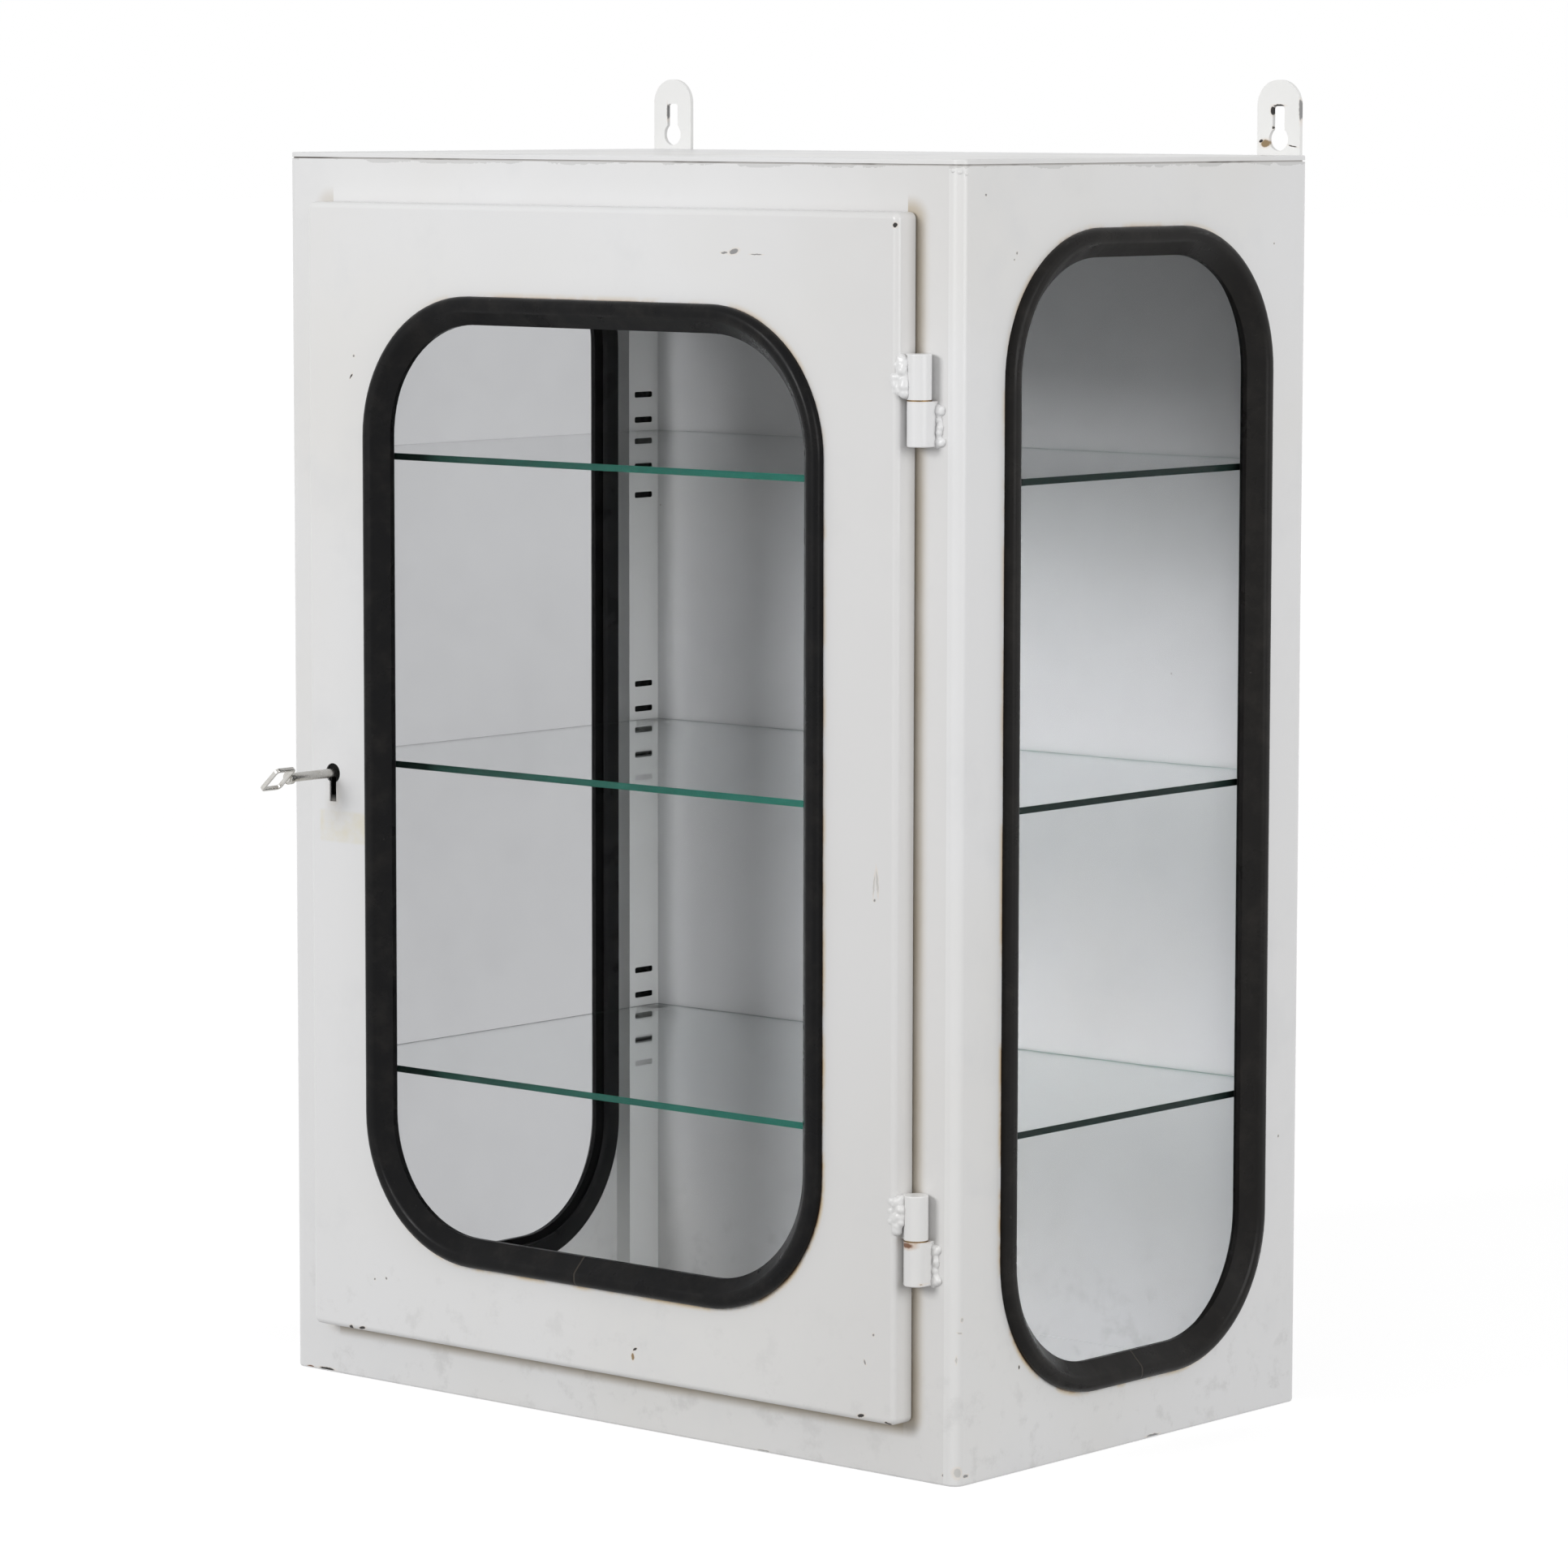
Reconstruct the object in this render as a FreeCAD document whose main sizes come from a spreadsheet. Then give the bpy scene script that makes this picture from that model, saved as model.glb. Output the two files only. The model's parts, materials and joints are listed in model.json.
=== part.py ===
"""Wall-hung medicine cabinet of folded sheet steel, in millimetres.

+X is the right hand of someone who faces the door, +Y points to the wall and +Z is up.
The origin is the middle of the cabinet's underside.
"""
import FreeCAD, Part
import os

import Sketcher

LENGTHS = {
    # carcass of folded sheet
    "body_width": 530.0,
    "body_depth": 325.0,
    "body_height": 750.0,
    "sheet_thickness": 1.0,
    "body_bend_radius": 6.5,
    "bend_lip": 3.0,
    "rear_flange": 45.0,
    "tray_flange": 14.0,
    "top_rim": 2.8,
    "top_groove": 0.9,
    "top_round": 0.8,
    "base_inset": 0.5,
    "base_round": 0.4,
    "rail_lip": 8.0,
    "back_edge_gap": 0.5,
    # door pan
    "door_side_margin": 32.5,
    "door_bottom": 33.5,
    "door_top_margin": 29.5,
    "door_pan": 15.5,
    "door_gap": 1.0,
    "door_bend_radius": 4.0,
    "door_overlap": 6.5,
    # margins round the windows, measured to the rubber seal
    "door_window_left": 49.5,
    "door_window_right": 54.0,
    "door_window_sill": 51.0,
    "door_window_head": 54.0,
    "side_window_margin": 38.75,
    "side_window_sill": 37.3,
    "side_window_head": 39.5,
    "window_corner": 86.0,
    # rubber window seal and the pane that it holds
    "seal_face": 17.0,
    "seal_slope": 9.0,
    "seal_lip": 4.5,
    "seal_web": 2.5,
    "seal_proud": 6.0,
    "seal_rear_face": 13.0,
    "seal_rear": 12.5,
    "seal_front_round": 4.5,
    "seal_rear_round": 2.0,
    "pane_set": 6.0,
    "pane_glass": 4.0,
    # slotted shelf rails
    "rail_standoff": 12.5,
    "rail_width": 27.5,
    "rail_sheet": 1.2,
    "front_rail_setback": 7.5,
    "slot_length": 17.0,
    "slot_height": 3.8,
    "slot_pitch": 16.2,
    "slot_round": 1.2,
    # glass shelves and their clips
    "shelf_glass": 4.0,
    "shelf_lift": 6.5,
    "shelf_side_gap": 1.5,
    "shelf_front_setback": 16.5,
    "shelf_back_gap": 2.5,
    "shelf_round": 1.0,
    "clip_width": 14.0,
    "clip_steel": 2.0,
    "clip_reach": 16.0,
    "clip_rise": 5.3,
    "clip_hook": 7.0,
    # hanging straps
    "strap_width": 31.5,
    "strap_steel": 2.5,
    "strap_rise": 44.5,
    "strap_drop": 70.0,
    "strap_inset": 23.0,
    "strap_top_round": 15.0,
    "strap_foot_round": 3.0,
    "entry_radius": 7.0,
    "entry_rise": 9.5,
    "hang_slot_width": 8.8,
    "hang_slot_top": 29.0,
    "hang_slot_round": 2.0,
    # lift-off barrel hinges
    "hinge_radius": 7.0,
    "hinge_half": 25.6,
    "lower_hinge_inset": 106.8,
    "upper_hinge_inset": 105.0,
    "hinge_offset": 8.5,
    "hinge_clear": 0.5,
    "hinge_leaf": 5.5,
    "hinge_washer": 0.8,
    "hinge_play": 0.05,
    "hinge_edge_round": 0.8,
    "pin_radius": 4.0,
    "pin_depth": 20.0,
    "pin_end_gap": 0.5,
    "pin_press_gap": 0.02,
    "pin_running_gap": 0.06,
    "pin_chamfer": 0.6,
    # keyhole in the door
    "key_inset": 19.5,
    "key_drop": 2.0,
    "keyhole_radius": 6.0,
    "keyhole_slot_width": 5.5,
    "keyhole_slot_drop": 17.4,
    # lock case, cover and their fixings
    "lock_clear": 1.5,
    "case_width": 35.0,
    "case_above": 36.0,
    "case_below": 20.0,
    "case_sheet": 1.2,
    "case_ear": 14.0,
    "cover_steel": 1.5,
    "pillar_radius": 3.0,
    "pillar_corner": 4.5,
    "pillar_low_drop": 13.0,
    "pillar_high_rise": 30.0,
    "screw_radius": 1.5,
    "screw_gap": 0.1,
    "screw_length": 8.0,
    "screw_head_radius": 2.75,
    "screw_head": 2.0,
    "thread_gap": 0.02,
    "stud_radius": 2.0,
    "stud_length": 10.0,
    "stud_gap": 0.15,
    "nut_circle_radius": 4.0,
    "nut_height": 3.2,
    # sliding bolt
    "bolt_throw": 16.76,
    "bolt_gap": 1.0,
    "bolt_steel": 5.0,
    "bolt_play": 0.3,
    "bolt_tail_gap": 2.3,
    "bolt_low": 7.5,
    "bolt_height": 17.0,
    "bolt_nose_round": 0.8,
    "talon_width": 5.8,
    "talon_depth": 6.1,
    "guide_radius": 2.0,
    "guide_inset": 7.0,
    "guide_rise": 19.0,
    "guide_gap": 0.2,
    "guide_front": 0.7,
    "spring_steel": 0.6,
    "spring_width": 4.4,
    "spring_inset": 16.5,
    "spring_base": 8.0,
    "spring_foot": 10.0,
    # key
    "key_reach": 55.0,
    "key_radius": 2.8,
    "key_tip_radius": 2.0,
    "key_tip_out": 1.5,
    "key_running_gap": 0.08,
    "key_play": 0.4,
    "collar_radius": 4.0,
    "collar_length": 3.0,
    "bow_width": 20.0,
    "bow_length": 16.5,
    "bow_rim": 2.0,
    "bow_steel": 2.6,
    "bow_corner": 3.0,
    "bow_round": 0.6,
    "bit_reach": 13.0,
    "bit_steel": 3.0,
    "bit_length": 5.6,
    # every cut runs this far past the metal
    "cut_overrun": 2.0,
}

ANGLES = {
    # the key's blade stands this far to the right of upright at rest
    "key_half_turn": 48.0,
}

SHELF_NAMES = ("bottom_shelf", "middle_shelf", "top_shelf")
COMPARTMENTS = len(SHELF_NAMES) + 1
SLOTS_PER_SHELF = 5
SLOTS_BELOW_CLIP = 2
NUT_SIDES = 6
MATCH = 1e-4

# how a sketch numbers its own origin and the points of a line, an arc or a circle
ORIGIN = -1
START_POINT, END_POINT, CENTRE_POINT = range(1, 4)

# each sketch plane's origin feature, and the sense of its normal along the world axis
PLANES = {"XY": ("XY_Plane", 1), "XZ": ("XZ_Plane", -1), "YZ": ("YZ_Plane", 1)}

UP = FreeCAD.Vector(0, 0, 1)
DOC = FreeCAD.newDocument("medicine_cabinet")
NODES = []


class Size:
    """A length: its number now, and the sheet expression that drives it."""

    def __init__(self, value, text):
        self.value = value
        self.text = text

    def __add__(self, other):
        return Size(self.value + number(other), f"({self.text} + {wording(other)})")

    def __sub__(self, other):
        return Size(self.value - number(other), f"({self.text} - {wording(other)})")

    def __mul__(self, other):
        return Size(self.value * number(other), f"({self.text} * {wording(other)})")

    def __truediv__(self, other):
        return Size(self.value / number(other), f"({self.text} / {wording(other)})")

    def __neg__(self):
        return self * -1


def number(size):
    """The plain number of a size or of a number."""
    return size.value if isinstance(size, Size) else size


def wording(size):
    """The expression text of a size or of a number."""
    return size.text if isinstance(size, Size) else f"{size}"


class Sheet:
    """The spreadsheet of driving dimensions, read as sizes by name."""

    def __init__(self, values):
        self.cells = DOC.addObject("Spreadsheet::Sheet", "Sizes")
        for row, (name, value) in enumerate(values.items(), 1):
            self.cells.set(f"A{row}", name)
            self.cells.set(f"B{row}", f"{value}")
            self.cells.setAlias(f"B{row}", name)
            setattr(self, name, Size(value, f"Sizes.{name}"))
        DOC.recompute()


def bind(item, path, size):
    """Ties a property to the sheet."""
    if isinstance(size, Size):
        item.setExpression(path, size.text)


def constrain(sketch, rules):
    """Adds the sketch rules, and binds each one that has a size."""
    first = sketch.ConstraintCount
    sketch.addConstraint([rule for rule, size in rules])
    for index, (rule, size) in enumerate(rules, first):
        bind(sketch, f"Constraints[{index}]", size)


def point_rules(shape, end, x, y):
    """Holds one point of a sketch shape at x and y from the sketch origin."""
    return [(Sketcher.Constraint("DistanceX", ORIGIN, START_POINT, shape, end, number(x)), x),
            (Sketcher.Constraint("DistanceY", ORIGIN, START_POINT, shape, end, number(y)), y)]


def circle(x, y, radius):
    """A round outline for a sketch."""
    def draw(sketch):
        centre = FreeCAD.Vector(number(x), number(y), 0)
        shape = sketch.addGeometry(Part.Circle(centre, UP, number(radius)))
        rules = point_rules(shape, CENTRE_POINT, x, y)
        rules.append((Sketcher.Constraint("Radius", shape, number(radius)), radius))
        constrain(sketch, rules)
    return draw


def toward(here, there):
    """The sense of a step from one coordinate to another: -1, 0 or 1."""
    gap = number(there) - number(here)
    return 0 if abs(gap) < MATCH else int(gap / abs(gap))


def outline(*corners):
    """A closed right-angled outline for a sketch: each corner is x, y and its round."""
    def draw(sketch):
        entries = []
        exits = []
        steps = []
        for index, (x, y, radius) in enumerate(corners):
            before = corners[index - 1]
            after = corners[(index + 1) % len(corners)]
            back = (toward(x, before[0]), toward(y, before[1]))
            ahead = (toward(x, after[0]), toward(y, after[1]))
            entries.append((x + radius * back[0], y + radius * back[1]) if number(radius) else (x, y))
            exits.append((x + radius * ahead[0], y + radius * ahead[1]) if number(radius) else (x, y))
            steps.append((back, ahead))
        lines = []
        for index in range(len(corners)):
            start = exits[index]
            end = entries[(index + 1) % len(corners)]
            segment = Part.LineSegment(FreeCAD.Vector(number(start[0]), number(start[1]), 0),
                                       FreeCAD.Vector(number(end[0]), number(end[1]), 0))
            lines.append(sketch.addGeometry(segment))
        rules = []
        for index, (x, y, radius) in enumerate(corners):
            line_in = lines[index - 1]
            line_out = lines[index]
            rules += point_rules(line_out, START_POINT, *exits[index])
            if not number(radius):
                rules.append((Sketcher.Constraint("Coincident", line_in, END_POINT, line_out, START_POINT), None))
                continue
            rules += point_rules(line_in, END_POINT, *entries[index])
            rules += corner_rules(sketch, entries[index], exits[index], radius, steps[index], line_in, line_out)
        constrain(sketch, rules)
    return draw


def corner_rules(sketch, entry, leave, radius, steps, line_in, line_out):
    """Draws a corner's arc between its two lines, and returns the rules that hold it."""
    back, ahead = steps
    first = FreeCAD.Vector(number(entry[0]), number(entry[1]), 0)
    last = FreeCAD.Vector(number(leave[0]), number(leave[1]), 0)
    centre = first + FreeCAD.Vector(ahead[0], ahead[1], 0) * number(radius)
    corner = first - FreeCAD.Vector(back[0], back[1], 0) * number(radius)
    middle = centre + (corner - centre).normalize() * number(radius)
    arc = sketch.addGeometry(Part.Arc(first, middle, last))
    starts_first = sketch.getPoint(arc, START_POINT).distanceToPoint(first) < MATCH
    near, far = (START_POINT, END_POINT) if starts_first else (END_POINT, START_POINT)
    return [(Sketcher.Constraint("Coincident", line_in, END_POINT, arc, near), None),
            (Sketcher.Constraint("Coincident", line_out, START_POINT, arc, far), None),
            (Sketcher.Constraint("Radius", arc, number(radius)), radius)]


def rectangle(x0, x1, y0, y1, radius=0):
    """A rectangular outline with equal corner rounds."""
    return outline((x0, y0, radius), (x1, y0, radius), (x1, y1, radius), (x0, y1, radius))


def new_sketch(body, plane, level, loops):
    """A sketch on one of the body's own planes, moved to a level along the world axis."""
    role, sense = PLANES[plane]
    support = [item for item in body.Origin.OriginFeatures if item.Role == role][0]
    sketch = body.newObject("Sketcher::SketchObject", "Outline")
    sketch.AttachmentSupport = (support, [""])
    sketch.MapMode = "FlatFace"
    offset = level * sense
    sketch.AttachmentOffset = FreeCAD.Placement(UP * number(offset), FreeCAD.Rotation())
    bind(sketch, "AttachmentOffset.Base.z", offset)
    for loop in loops:
        loop(sketch)
    return sketch


def pad(body, plane, level, length, *loops):
    """Adds metal from a level, along the world axis across the plane."""
    sketch = new_sketch(body, plane, level, loops)
    feature = body.newObject("PartDesign::Pad", "Pad")
    feature.Profile = sketch
    feature.Length = number(length)
    bind(feature, "Length", length)
    feature.Reversed = PLANES[plane][1] < 0
    return feature


def cut(body, plane, level, length, *loops):
    """Removes metal from a level, along the world axis across the plane."""
    DOC.recompute()
    volume = body.Shape.Volume
    sketch = new_sketch(body, plane, level, loops)
    feature = body.newObject("PartDesign::Pocket", "Pocket")
    feature.Profile = sketch
    feature.Length = number(length)
    bind(feature, "Length", length)
    feature.Reversed = PLANES[plane][1] > 0
    DOC.recompute()
    if not body.Shape.Volume < volume:
        raise RuntimeError(f"a cut in {body.Label} removed nothing")
    return feature


def edges_at(axis, level):
    """Chooses the edges that lie flat at a level of X, Y or Z."""
    def chosen(edge):
        box = edge.BoundBox
        low = getattr(box, f"{axis}Min")
        high = getattr(box, f"{axis}Max")
        return abs(low - number(level)) < MATCH and abs(high - number(level)) < MATCH
    return chosen


def round_edges(body, radius, *choices):
    """Rounds the edges of the body so far that any choice takes."""
    DOC.recompute()
    base = body.Tip
    names = []
    for index, edge in enumerate(base.Shape.Edges, 1):
        if any(chosen(edge) for chosen in choices):
            names.append(f"Edge{index}")
    feature = body.newObject("PartDesign::Fillet", "Fillet")
    feature.Base = (base, names)
    feature.Radius = number(radius)
    bind(feature, "Radius", radius)
    DOC.recompute()
    return feature


def chamfer_edges(body, size, *choices):
    """Chamfers the edges of the body so far that any choice takes."""
    DOC.recompute()
    base = body.Tip
    names = []
    for index, edge in enumerate(base.Shape.Edges, 1):
        if any(chosen(edge) for chosen in choices):
            names.append(f"Edge{index}")
    feature = body.newObject("PartDesign::Chamfer", "Chamfer")
    feature.Base = (base, names)
    feature.Size = number(size)
    bind(feature, "Size", size)
    DOC.recompute()
    return feature


def repeat_up(body, feature, pitch, count):
    """Repeats a feature upward at a pitch."""
    upright = [item for item in body.Origin.OriginFeatures if item.Role == "Z_Axis"][0]
    row = body.newObject("PartDesign::LinearPattern", "Row")
    row.Originals = [feature]
    row.Direction = (upright, [""])
    extent = pitch * (count - 1)
    row.Length = number(extent)
    bind(row, "Length", extent)
    row.Occurrences = count
    body.Tip = row
    DOC.recompute()


def piece(name):
    """A body that is one solid."""
    body = DOC.addObject("PartDesign::Body", name)
    body.Label = name
    return body


def node(name):
    """A body that is a sub-part of its own."""
    body = piece(name)
    NODES.append(body)
    return body


def group(name, members):
    """A sub-part that is several like solids."""
    compound = DOC.addObject("Part::Compound", name)
    compound.Label = name
    compound.Links = members
    NODES.append(compound)
    return compound


D = Sheet({**LENGTHS, **ANGLES})
ZERO = Size(0, "0")

# places that several pieces share
HALF_WIDTH = D.body_width / 2
FRONT = -D.body_depth / 2
BACK = D.body_depth / 2
INNER_TOP = D.body_height - D.sheet_thickness
WALL_TOP = D.body_height - D.top_rim - D.top_groove
LIP_EDGE = HALF_WIDTH - D.body_bend_radius - D.bend_lip
DOOR_RIGHT = HALF_WIDTH - D.door_side_margin
DOOR_LEFT = -DOOR_RIGHT
DOOR_TOP = D.body_height - D.door_top_margin
OPENING = DOOR_RIGHT - D.door_overlap
OPENING_LOW = D.door_bottom + D.door_overlap
OPENING_HIGH = DOOR_TOP - D.door_overlap
BACK_FACE = BACK - D.sheet_thickness * 2
BACK_HALF = HALF_WIDTH - D.body_bend_radius - D.back_edge_gap
DOOR_REAR = FRONT - D.door_gap
DOOR_FACE = DOOR_REAR - D.door_pan
DOOR_INSIDE = DOOR_FACE + D.sheet_thickness
GLASS_EDGE = D.seal_lip + D.seal_web
PANE_REAR = D.pane_set + D.pane_glass
SIDE_NAMES = {-1: "left", 1: "right"}
DEPTH_AXES = {"XZ": "Y", "YZ": "X"}


class Window:
    """A glazed opening in a flat wall: its plane, outer face, inward sense and outline."""

    def __init__(self, plane, face, inward, box):
        self.plane = plane
        self.face = face
        self.inward = inward
        self.box = box

    def loop(self, inset):
        """The seal's outline, drawn in by an inset."""
        u0, u1, v0, v1 = self.box
        return rectangle(u0 + inset, u1 - inset, v0 + inset, v1 - inset, D.window_corner - inset)

    def level(self, depth):
        """The world coordinate of a depth behind the wall's outer face."""
        return self.face + depth * self.inward

    def layer(self, body, near, far, *loops):
        """Adds a layer between two depths."""
        start = self.level(near) if self.inward > 0 else self.level(far)
        pad(body, self.plane, start, far - near, *loops)

    def remove(self, body, near, far, *loops):
        """Cuts between two depths."""
        start = self.level(near) if self.inward > 0 else self.level(far)
        cut(body, self.plane, start, far - near, *loops)

    def edges(self, depth):
        """Chooses the edges that lie flat at a depth."""
        return edges_at(DEPTH_AXES[self.plane], self.level(depth))

    def mouth(self, depth):
        """Chooses the edges at a depth that lie inside the seal's outline, and not on it."""
        flat = self.edges(depth)
        u0, u1, v0, v1 = [number(side) for side in self.box]
        limits = {self.plane[0]: (u0, u1), self.plane[1]: (v0, v1)}

        def chosen(edge):
            inside = []
            for axis, (low, high) in limits.items():
                inside.append(low + MATCH < getattr(edge.BoundBox, f"{axis}Min"))
                inside.append(getattr(edge.BoundBox, f"{axis}Max") < high - MATCH)
            return flat(edge) and all(inside)
        return chosen

    def cut_sheet(self, body):
        """Cuts the wall's own opening, which the seal's lips overlap."""
        self.remove(body, -D.cut_overrun, D.sheet_thickness + D.cut_overrun, self.loop(D.seal_lip))


DOOR_WINDOW = Window("XZ", DOOR_FACE, 1, (
    DOOR_LEFT + D.door_window_left, DOOR_RIGHT - D.door_window_right,
    D.door_bottom + D.door_window_sill, DOOR_TOP - D.door_window_head))
SIDE_WINDOWS = {}
for side in SIDE_NAMES:
    SIDE_WINDOWS[side] = Window("YZ", HALF_WIDTH * side, -side, (
        FRONT + D.side_window_margin, BACK - D.side_window_margin,
        D.side_window_sill, D.body_height - D.side_window_head))


def side_panel(side):
    """One side wall, folded with its front lip and its rear flange, and cut for its window."""
    body = node(f"{SIDE_NAMES[side]}_side_panel")
    outer = HALF_WIDTH * side
    inner = (HALF_WIDTH - D.sheet_thickness) * side
    lip_edge = LIP_EDGE * side
    flange_edge = (HALF_WIDTH - D.rear_flange) * side
    inside_bend = D.body_bend_radius - D.sheet_thickness
    pad(body, "XY", D.sheet_thickness, WALL_TOP - D.sheet_thickness, outline(
        (lip_edge, FRONT, 0),
        (outer, FRONT, D.body_bend_radius),
        (outer, BACK, D.body_bend_radius),
        (flange_edge, BACK, 0),
        (flange_edge, BACK - D.sheet_thickness, 0),
        (inner, BACK - D.sheet_thickness, inside_bend),
        (inner, FRONT + D.sheet_thickness, inside_bend),
        (lip_edge, FRONT + D.sheet_thickness, 0)))
    SIDE_WINDOWS[side].cut_sheet(body)


def front_stile(side):
    """An upright of the front frame, welded flush to the side wall's lip."""
    body = node(f"{SIDE_NAMES[side]}_front_stile")
    pad(body, "XZ", FRONT, D.sheet_thickness,
        rectangle(OPENING * side, LIP_EDGE * side, D.sheet_thickness, WALL_TOP))


def plan(inset, rear):
    """The carcass's rounded outline seen from above, drawn in by an inset, with its own rear edge."""
    half = HALF_WIDTH - inset
    return rectangle(-half, half, FRONT + inset, rear, D.body_bend_radius - inset)


def tray_flange(body, level):
    """The flange of a top or bottom, which stands inside the folded walls."""
    sheet = D.sheet_thickness
    pad(body, "XY", level, D.tray_flange, plan(sheet, BACK_FACE), plan(sheet * 2, BACK_FACE - sheet))


def top_panel():
    """The top: a plate with a turned-down rim over the walls, and a groove below the rim."""
    body = node("top_panel")
    sheet = D.sheet_thickness
    pad(body, "XY", INNER_TOP, sheet, plan(ZERO, BACK))
    round_edges(body, D.top_round, edges_at("Z", D.body_height))
    rim = D.top_rim - sheet
    pad(body, "XY", INNER_TOP - rim, rim, plan(ZERO, BACK), plan(sheet, BACK - sheet))
    tray_flange(body, INNER_TOP - D.tray_flange)


def bottom_panel():
    """The bottom: a plate under the walls, set in a little from their outside."""
    body = node("bottom_panel")
    pad(body, "XY", ZERO, D.sheet_thickness, plan(D.base_inset, BACK - D.base_inset))
    round_edges(body, D.base_round, edges_at("Z", ZERO))
    tray_flange(body, D.sheet_thickness)


def front_rail(name, low, high, lip_low):
    """A rail of the front frame between the stiles, with a lip along the door opening."""
    body = node(name)
    pad(body, "XZ", FRONT, D.sheet_thickness, rectangle(-OPENING, OPENING, low, high))
    pad(body, "XZ", FRONT + D.sheet_thickness, D.rail_lip,
        rectangle(-OPENING, OPENING, lip_low, lip_low + D.sheet_thickness))


def back_panel():
    """The flat back, which lies against the rear flanges from inside."""
    body = node("back_panel")
    pad(body, "XZ", BACK_FACE, D.sheet_thickness, rectangle(-BACK_HALF, BACK_HALF, D.sheet_thickness, INNER_TOP))


def hanging_strap(side):
    """A strap on the rear flange whose keyhole hangs over a wall screw."""
    body = node(f"{SIDE_NAMES[side]}_hanging_strap")
    middle = (HALF_WIDTH - D.strap_inset) * side
    half = D.strap_width / 2
    low = D.body_height - D.strap_drop
    high = D.body_height + D.strap_rise
    entry = D.body_height + D.entry_rise
    pad(body, "XZ", BACK, D.strap_steel, outline(
        (middle - half, low, D.strap_foot_round),
        (middle + half, low, D.strap_foot_round),
        (middle + half, high, D.strap_top_round),
        (middle - half, high, D.strap_top_round)))
    start = BACK - D.cut_overrun
    through = D.strap_steel + D.cut_overrun * 2
    cut(body, "XZ", start, through, circle(middle, entry, D.entry_radius))
    slot_half = D.hang_slot_width / 2
    slot_top = D.body_height + D.hang_slot_top
    cut(body, "XZ", start, through, outline(
        (middle - slot_half, entry, 0),
        (middle + slot_half, entry, 0),
        (middle + slot_half, slot_top, D.hang_slot_round),
        (middle - slot_half, slot_top, D.hang_slot_round)))


def window_seal(name, window):
    """A rubber ring with a fat sloping front: one groove grips the sheet, and the other the pane."""
    body = node(name)
    outside = window.loop(ZERO)
    window.layer(body, -D.seal_proud, D.pane_set, outside, window.loop(D.seal_face))
    chamfer_edges(body, D.seal_slope, window.mouth(-D.seal_proud))
    round_edges(body, D.seal_front_round, window.edges(-D.seal_proud))
    window.layer(body, D.pane_set, PANE_REAR, outside, window.loop(GLASS_EDGE))
    window.layer(body, PANE_REAR, D.seal_rear, outside, window.loop(D.seal_rear_face))
    round_edges(body, D.seal_rear_round, window.edges(D.seal_rear))
    window.remove(body, ZERO, D.sheet_thickness, window.loop(-D.cut_overrun), window.loop(D.seal_lip))


def window_pane(name, window):
    """The sheet of glass that a seal holds."""
    body = node(name)
    window.layer(body, D.pane_set, PANE_REAR, window.loop(GLASS_EDGE))


def shelf_top(index):
    """The height of a shelf's upper face."""
    return D.body_height / COMPARTMENTS * (index + 1) + D.shelf_lift


def clip_slot(index):
    """The height of the middle of the slot that carries a shelf's clips."""
    return shelf_top(index) - D.shelf_glass - D.clip_rise


RAIL_STARTS = {"front": FRONT + D.front_rail_setback, "rear": BACK_FACE - D.rail_width}


def slotted_rail(side, place):
    """A channel on a side wall with a row of slots at each shelf. A rear one also stands on the back."""
    body = node(f"{place}_{SIDE_NAMES[side]}_slotted_rail")
    wall = (HALF_WIDTH - D.sheet_thickness) * side
    face = (HALF_WIDTH - D.rail_standoff) * side
    behind = (HALF_WIDTH - D.rail_standoff + D.rail_sheet) * side
    heel = wall if place == "front" else BACK_HALF * side
    start = RAIL_STARTS[place]
    end = start + D.rail_width
    low = D.sheet_thickness + D.tray_flange
    pad(body, "XY", low, D.body_height - low * 2, outline(
        (wall, start, 0),
        (face, start, 0),
        (face, end, 0),
        (heel, end, 0),
        (heel, end - D.rail_sheet, 0),
        (behind, end - D.rail_sheet, 0),
        (behind, start + D.rail_sheet, 0),
        (wall, start + D.rail_sheet, 0)))
    middle = start + D.rail_width / 2
    slots = []
    for index in range(len(SHELF_NAMES)):
        height = clip_slot(index) - D.slot_pitch * SLOTS_BELOW_CLIP
        slots.append(rectangle(middle - D.slot_length / 2, middle + D.slot_length / 2,
                               height - D.slot_height / 2, height + D.slot_height / 2, D.slot_round))
    outside = face if side > 0 else behind
    slot = cut(body, "YZ", outside - D.cut_overrun, D.rail_sheet + D.cut_overrun * 2, *slots)
    repeat_up(body, slot, D.slot_pitch, SLOTS_PER_SHELF)


def shelf(index):
    """A loose glass shelf that lies on four clips."""
    body = node(SHELF_NAMES[index])
    half = HALF_WIDTH - D.rail_standoff - D.shelf_side_gap
    pad(body, "XY", shelf_top(index) - D.shelf_glass, D.shelf_glass,
        rectangle(-half, half, FRONT + D.shelf_front_setback, BACK_FACE - D.shelf_back_gap, D.shelf_round))


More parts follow.
